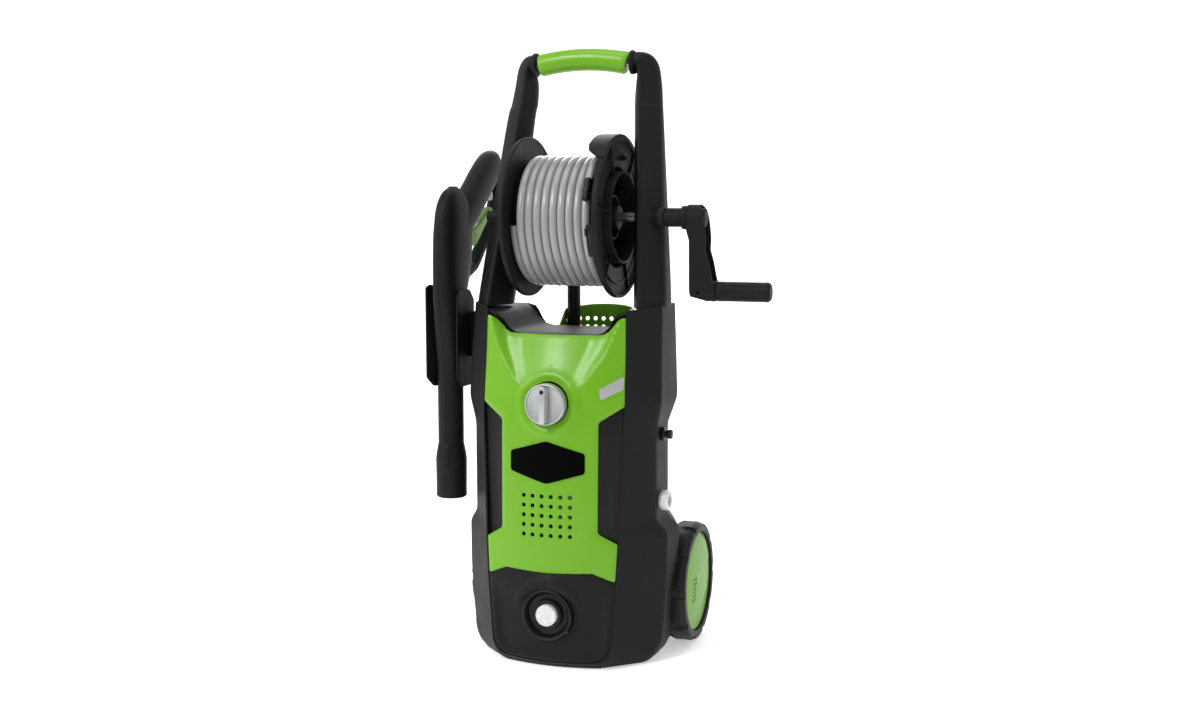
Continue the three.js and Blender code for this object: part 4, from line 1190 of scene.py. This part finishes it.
def make_knob():
    low, high = box_mm("power_knob")
    face = low.y + 10
    disc = rounded([(0, face + 16), (25, face + 16), (25, face + 15), (29.2, face + 15, 1),
                    (29.3, face + 2, 1.2), (27.9, face, 0.8), (26.6, face + 0.6, 0.6),
                    (25.8, face + 2.6, 0.8), (18, face + 3.6, 6), (0, face + 4.2)])
    bar = rounded([(-5.2, -25.6, 2.4), (5.2, -25.6, 2.4), (6.2, 19, 6), (4.6, 25.8, 2.6), (-4.6, 25.8, 2.6),
                   (-6.2, 19, 6)], 0, 5)

    def bar_place(x, z, depth):
        fall = 1.6 * (abs(z) / 26) ** 2
        slim = 0.72 + 0.28 * min(depth / 11, 1)
        return Vector((KNOB.x + x * slim, low.y + fall + depth, KNOB.z + z))
    grip = slab([bar], 13, 1.5, 2.4, bar_place, arcs=3)
    spindle = lathe([(0, face + 8), (3, face + 8), (3, high.y), (0, high.y)], KNOB, "y", 24)
    moulding("power_knob", joined(lathe(disc, KNOB, "y", 120), grip, spindle), "knob")
    dot_place = Vector((KNOB.x, 0, KNOB.z + 18.5))
    dot = lathe(rounded([(0, low.y + 0.4), (2.9, low.y + 0.4, 0.3), (2.9, low.y + 4), (0, low.y + 4)], 0, 2),
                dot_place, "y", 24)
    piece("knob_pointer_dot", dot, "knob", "dark_plastic")


make_post("left", -1)
make_post("right", 1)
make_grip()
make_flanges()
fitting = make_hose_end()
make_crank()
make_wheel("left", -1)
make_wheel("right", 1)
make_knob()


# ---------- spray gun ----------
# The body's front edge, back edge and half width against height, then the grip's spine.
GUN_FRONT = [(303, -45), (400, -45), (440, -49), (480, -57), (520, -63), (572, -64.5), (612, -62), (640, -56),
             (655, -50), (668, -40), (676, -28), (679.5, -14)]
GUN_BACK = [(303, -7), (400, -7), (440, -2), (480, 6), (520, 13), (540, 24), (572, 36), (620, 40), (650, 36),
            (668, 20), (676, 8), (679.5, -6)]
GUN_WIDTH = [(303, 19), (400, 19), (440, 18.4), (520, 18), (600, 18), (640, 17), (655, 15), (668, 11.5),
             (676, 7), (679.5, 3)]
GUN_X = LANCE.x
SEAM = 0.2  # half the gap between the two moulded halves


def gun_ring(y, z, up, half_x, half_up, power, count=48):
    """A ring between an ellipse and a rounded box, across the gun and along the given direction."""
    ring = []
    for k in range(count):
        angle = 2 * math.pi * (k + 0.5) / count
        c, s = math.cos(angle), math.sin(angle)
        size = (abs(c) ** power + abs(s) ** power) ** (-1 / power)
        ring.append(Vector((GUN_X + half_x * size * c, y, z)) + up * (half_up * size * s))
    return ring


def heading(line, i):
    """The direction of a line of points at its point i."""
    return (line[min(i + 1, len(line) - 1)] - line[max(i - 1, 0)]).normalized()


def gun_body():
    heights = [303, 303.6, 305] + [305 + 5.5 * k for k in range(1, 60)] + [632 + 3 * k for k in range(14)]
    heights += [673, 675, 677, 678.4, 679.4]
    rings = []
    for z in heights:
        front, back = eased(GUN_FRONT, z, 4), eased(GUN_BACK, z, 4)
        width = eased(GUN_WIDTH, z, 3) - (0.8 if z < 303.5 else 0)
        power = 2.0 + 0.7 * smooth((z - 400) / 60)
        rings.append(gun_ring((front + back) / 2, z, Vector((0, 1, 0)), width, (back - front) / 2, power))
    return loft(rings)


def gun_grip():
    """The grip slopes up and back from the body to a blunt rounded end."""
    spine = [(6, 622), (30, 641), (62, 664), (94, 688), (120, 706), (134, 713), (143, 716), (147.5, 718)]
    sizes = [(17, 26), (17.5, 27), (17.8, 27), (17.8, 27), (17.4, 26), (16.6, 24), (14.5, 20), (9, 12)]
    centres = curved([(0, y, z) for y, z in spine], 7)
    halves = curved([(w, h, 0) for w, h in sizes], 7)
    rings = []
    for i, (centre, half) in enumerate(zip(centres, halves)):
        ahead = heading(centres, i)
        rings.append(gun_ring(centre.y, centre.z, Vector((0, -ahead.z, ahead.y)), half.x, half.y, 2.4))
    return loft(rings)


def gun_guard():
    """The loop below the trigger, from the body to the grip's end."""
    line = curved([(0, 10, 530), (0, 24, 546), (0, 45, 554.5), (0, 60, 561), (0, 84, 582), (0, 104, 602),
                   (0, 126, 628), (0, 143, 653), (0, 147.5, 676), (0, 144, 700)], 6)
    rings = []
    for i, p in enumerate(line):
        ahead = heading(line, i)
        rings.append(gun_ring(p.y, p.z, Vector((0, ahead.z, -ahead.y)), 9.5, 6.8, 3, 28))
    return loft(rings)


def temporary(bm, name):
    bmesh.ops.recalc_face_normals(bm, faces=bm.faces)
    mesh = bpy.data.meshes.new(name)
    bm.to_mesh(mesh)
    bm.free()
    return link(name, mesh)


def united(first, others):
    """The first form joined with the others into one skin."""
    base = temporary(first, "base")
    tools = [temporary(other, "tool") for other in others]
    for tool in tools:
        modifier = base.modifiers.new("join", "BOOLEAN")
        modifier.operation = "UNION"
        modifier.solver = "EXACT"
        modifier.object = tool
    bm = shown_mesh(base)
    for obj in (base, *tools):
        bpy.data.objects.remove(obj)
    return bm


def half_of(bm, side):
    """One side of a form, cut square to X and closed with a flat face."""
    half = bm.copy()
    geometry = half.verts[:] + half.edges[:] + half.faces[:]
    cut = bmesh.ops.bisect_plane(half, geom=geometry, plane_co=(GUN_X + side * SEAM, 0, 0),
                                 plane_no=(side, 0, 0), clear_inner=True, dist=1e-4)
    rim = [e for e in cut["geom_cut"] if isinstance(e, bmesh.types.BMEdge)]
    bmesh.ops.triangle_fill(half, use_beauty=True, edges=rim)
    return half


def make_gun():
    whole = united(gun_body(), [gun_grip(), gun_guard()])
    for name, side in (("left", -1), ("right", 1)):
        half = half_of(whole, side)
        moulding(f"gun_half_{name}", half, "gun", sharp=40)
    whole.free()
    screws = []
    for y, z in ((-20, 640), (-24, 588), (2, 545), (-22, 452), (70, 668), (118, 700)):
        spot = Vector((0, y, z))
        head = rounded([(0, GUN_X - 14), (2.6, GUN_X - 14), (2.6, GUN_X - 18.4, 0.5), (0, GUN_X - 18.7)], 0,
                       3)
        screws.append(lathe(head, spot, "x", 20))
    piece("gun_screws", joined(*screws), "gun", "steel")
    lever = [(18, 600, 2), (24, 614, 3), (38, 612, 6), (70, 624, 20), (117, 650, 4), (121, 643, 3),
             (82, 612, 20), (54, 590, 10), (34, 592, 8)]

    def trigger_place(y, z, depth):
        across = (depth - 7) * (1 + 0.25 * smooth((y - 40) / 20))
        return Vector((GUN_X + across, y, z))
    piece("trigger_moulding", slab([rounded(lever, 0, 5)], 14, 2.4, 3, trigger_place, arcs=3), "trigger",
          "green_plastic", "gun_trigger")
    lock = rounded([(124.2, 671, 1), (130.5, 672.5, 1), (133, 661, 1), (128.4, 658.4, 1)], 0, 3)
    moulding("trigger_lock", slab([lock], 8, 1.0, None, on_axis("x", GUN_X - 4, -1)), "trigger_latch")


def make_nozzle():
    profile = rounded([(5.4, 302.8), (18.9, 302.8, 0.8), (19.2, 300, 3), (22.2, 284, 6), (23, 276, 6),
                       (22.9, 262, 0), (22.5, 226, 0.8), (22.9, 225, 0.6), (22.4, 221, 1.6), (20.5, 219.2, 1),
                        (17, 219.2, 1), (15, 231, 1), (8, 233, 1), (8, 221, 0.6), (6.2, 221, 0.6),
                       (5.4, 239)])

    def window(angle, r, s):
        """A shallow rectangular pad on the front, where the spray setting is read."""
        across = abs(((angle + math.pi / 2 + math.pi) % (2 * math.pi)) - math.pi) * r
        pad = smooth((6 - across) / 1.2) * smooth((s - 262) / 1.5) * smooth((298 - s) / 1.5)
        return (r + 0.9 * pad if r > 17.5 else r), s
    rows = []
    for p, q in zip(profile, [*profile[1:], profile[0]]):
        rows.append(p)
        gap = math.hypot(q[0] - p[0], q[1] - p[1])
        if p[0] > 18 and q[0] > 18 and gap > 3:
            rows += [(p[0] + (q[0] - p[0]) * k / 10, p[1] + (q[1] - p[1]) * k / 10) for k in range(1, 10)]
    moulding("nozzle_sleeve", lathe(rows, LANCE, "z", 120, window), "nozzle")


def make_holder():
    low, high = box_mm("lance_holder")
    thick = 2.6

    def cheek(top, corner):
        return rounded([(low.y, low.z + 16, 6), (low.y + 16, low.z + 1, 10), (high.y - 3, low.z + 1, 6),
                        (high.y, high.z - 16, 10), (high.y - 16, high.z, 14), (low.y + 10, top, corner),
                        (low.y, top - corner, corner * 0.8)], 0, 6)

    def cheek_place(side, x_outer):
        def place(y, z, depth):
            flare = (7 if side < 0 else 1) * smooth((low.y + 30 - y) / 30)
            return Vector((x_outer - side * (depth - flare), y, z))
        return place
    left = slab([cheek(high.z + 8, 4)], thick, 0.9, 4, cheek_place(-1, low.x), arcs=3)
    right = slab([cheek(high.z, 12)], thick, 0.9, 4, cheek_place(1, -163.0), arcs=3)
    back = rectangle((low.x + 2, -165), (low.z + 8, high.z - 24), 3, 3)
    back = slab([back], 3, 0.8, None, on_axis("y", high.y - 0.4, 1))
    arm = rounded([(-166, 428, 3), (-143, 424, 2), (-143, 500, 2), (-166, 492, 3)], 0, 3)
    arm = slab([arm], 14, 1.6, None, on_axis("y", 0, -1))
    moulding("lance_holder", joined(left, right, back, arm))


# ---------- basket, ports and hooks ----------


def basket_line():
    """The basket's plan: straight flanks and a broad round back."""
    low, high = box_mm("accessory_basket")
    half, near, far = high.x, low.y, high.y
    line = [Vector((half, near - 4))]
    for k in range(41):
        angle = math.pi * k / 40
        c, s = math.cos(angle), math.sin(angle)
        line.append(Vector((half * math.copysign(abs(c) ** 0.6, c),
                            near + 30 + (far - near - 30) * abs(s) ** 0.6)))
    return [*line, Vector((-half, near - 4))]


def make_basket():
    low, high = box_mm("accessory_basket")
    line = basket_line()
    lengths = running_lengths(line)

    def at(s):
        i, t = span_at(lengths, s)
        return line[i - 1].lerp(line[i], t), outward(line[max(i - 2, 0)], line[min(i + 1, len(line) - 1)])

    def rim(s):
        point, _ = at(s)
        crown = high.z - 0.3 - 5 * (point.x / 80) ** 2 * 2.2
        return min(crown, high.z - 36 + 41 * (point.y - low.y) / 50)
    top = [(lengths[-1] * k / 60, rim(lengths[-1] * k / 60)) for k in range(61)]
    outline = [(0, low.z), (lengths[-1], low.z), *reversed(top)]
    holes = []
    middle_s = lengths[-1] / 2
    for column in range(-6, 7):
        for row in range(5):
            z = 476 - row * 13
            holes.append(circle(middle_s + column * 13 + 6.5, z, 3.2, 16))

    def place(s, z, depth):
        point, out = at(s)
        point = point - out * depth
        return Vector((point.x, point.y, z))
    wall = slab([outline, *holes], 3, 1.2, (4, 8), place, arcs=3)
    front = rounded([(-52, low.z + 1, 1), (52, low.z + 1, 1), (52, high.z - 41, 8), (-52, high.z - 41, 8)], 0,
                     5)
    front = slab([front], 3, 1.2, None, on_axis("y", low.y + 0.2, -1), arcs=3)
    floor = [(p.x * 0.97, low.y + (p.y - low.y) * 0.97) for p in line[1:-1]]
    floor = slab([[(50, low.y + 1), *floor, (-50, low.y + 1)]], 3, 0.8, None,
                 lambda x, y, d: Vector((x, y, low.z + 3 - d)))
    moulding("accessory_basket", joined(wall, front, floor))


def make_small_parts():
    low, high = box_mm("spare_lance")
    profile = rounded([(0, low.z), (6.6, low.z, 1), (10, 345, 2), (10, 560, 0.6), (9.2, 561, 0.4),
                       (9.2, 565, 0.4), (10, 566, 0.6), (10, 580, 1.4), (7.5, 584, 1.4), (7.5, high.z, 1.2),
                       (0, high.z)])
    moulding("spare_lance", lathe(profile, SPARE, "z", 64), "stored_lance")
    profile = rounded([(0, 122), (8, 122), (8, 132, 0.6), (14, 132, 1), (14, 137, 1), (12.8, 138, 0.6),
                       (12.8, 140, 0.6), (14.5, 141, 1), (14.5, 149.4, 1), (13, 151.5, 0.8),
                       (9.6, 151.5, 0.6), (8.4, 149, 0.5), (8.4, 136), (0, 136)])

    def ribs(angle, r, s):
        grip = smooth((s - 141.4) / 0.8) * smooth((149 - s) / 0.8) * (r > 11)
        return r - 0.7 * grip * smooth((math.cos(14 * angle) - 0.2) / 0.5), s
    moulding("water_inlet", lathe(profile, INLET, "x", 112, ribs))
    profile = rounded([(0, 128), (6, 128), (6, 138.6, 0.5), (8, 139, 0.8), (10, 139.6, 1), (10, 143, 1.4),
                       (5, 143.8, 0.6), (5, 147, 0.5), (6.5, 148, 0.8), (6.5, 153.4, 1), (0, 154)])
    moulding("detergent_port", lathe(profile, middle("detergent_port"), "x", 64))
    piece("cord_hook_moulding", cord_hook(280, 1, 70.0), "cord_hook", "black_plastic", "cord_hook_upper")
    profile = rounded([(4.3, 62), (8.2, 62), (8.2, 70.2, 0.4), (12, 70.6, 1), (12, 74.6, 1.2), (8, 76, 1),
                       (7.4, 79, 0.4), (6.6, 79.4, 0.3), (6.6, 81, 0.3), (7.1, 81.6, 0.4), (6.8, 84, 0.4),
                       (6.1, 84.4, 0.3), (6.1, 86, 0.3), (6.5, 86.6, 0.4), (6, 91.6, 0.8), (4.3, 92)], 0, 3)
    moulding("cord_gland", lathe(profile, middle("cord_gland"), "y", 48))


make_gun()
make_nozzle()
make_holder()
make_basket()
make_small_parts()
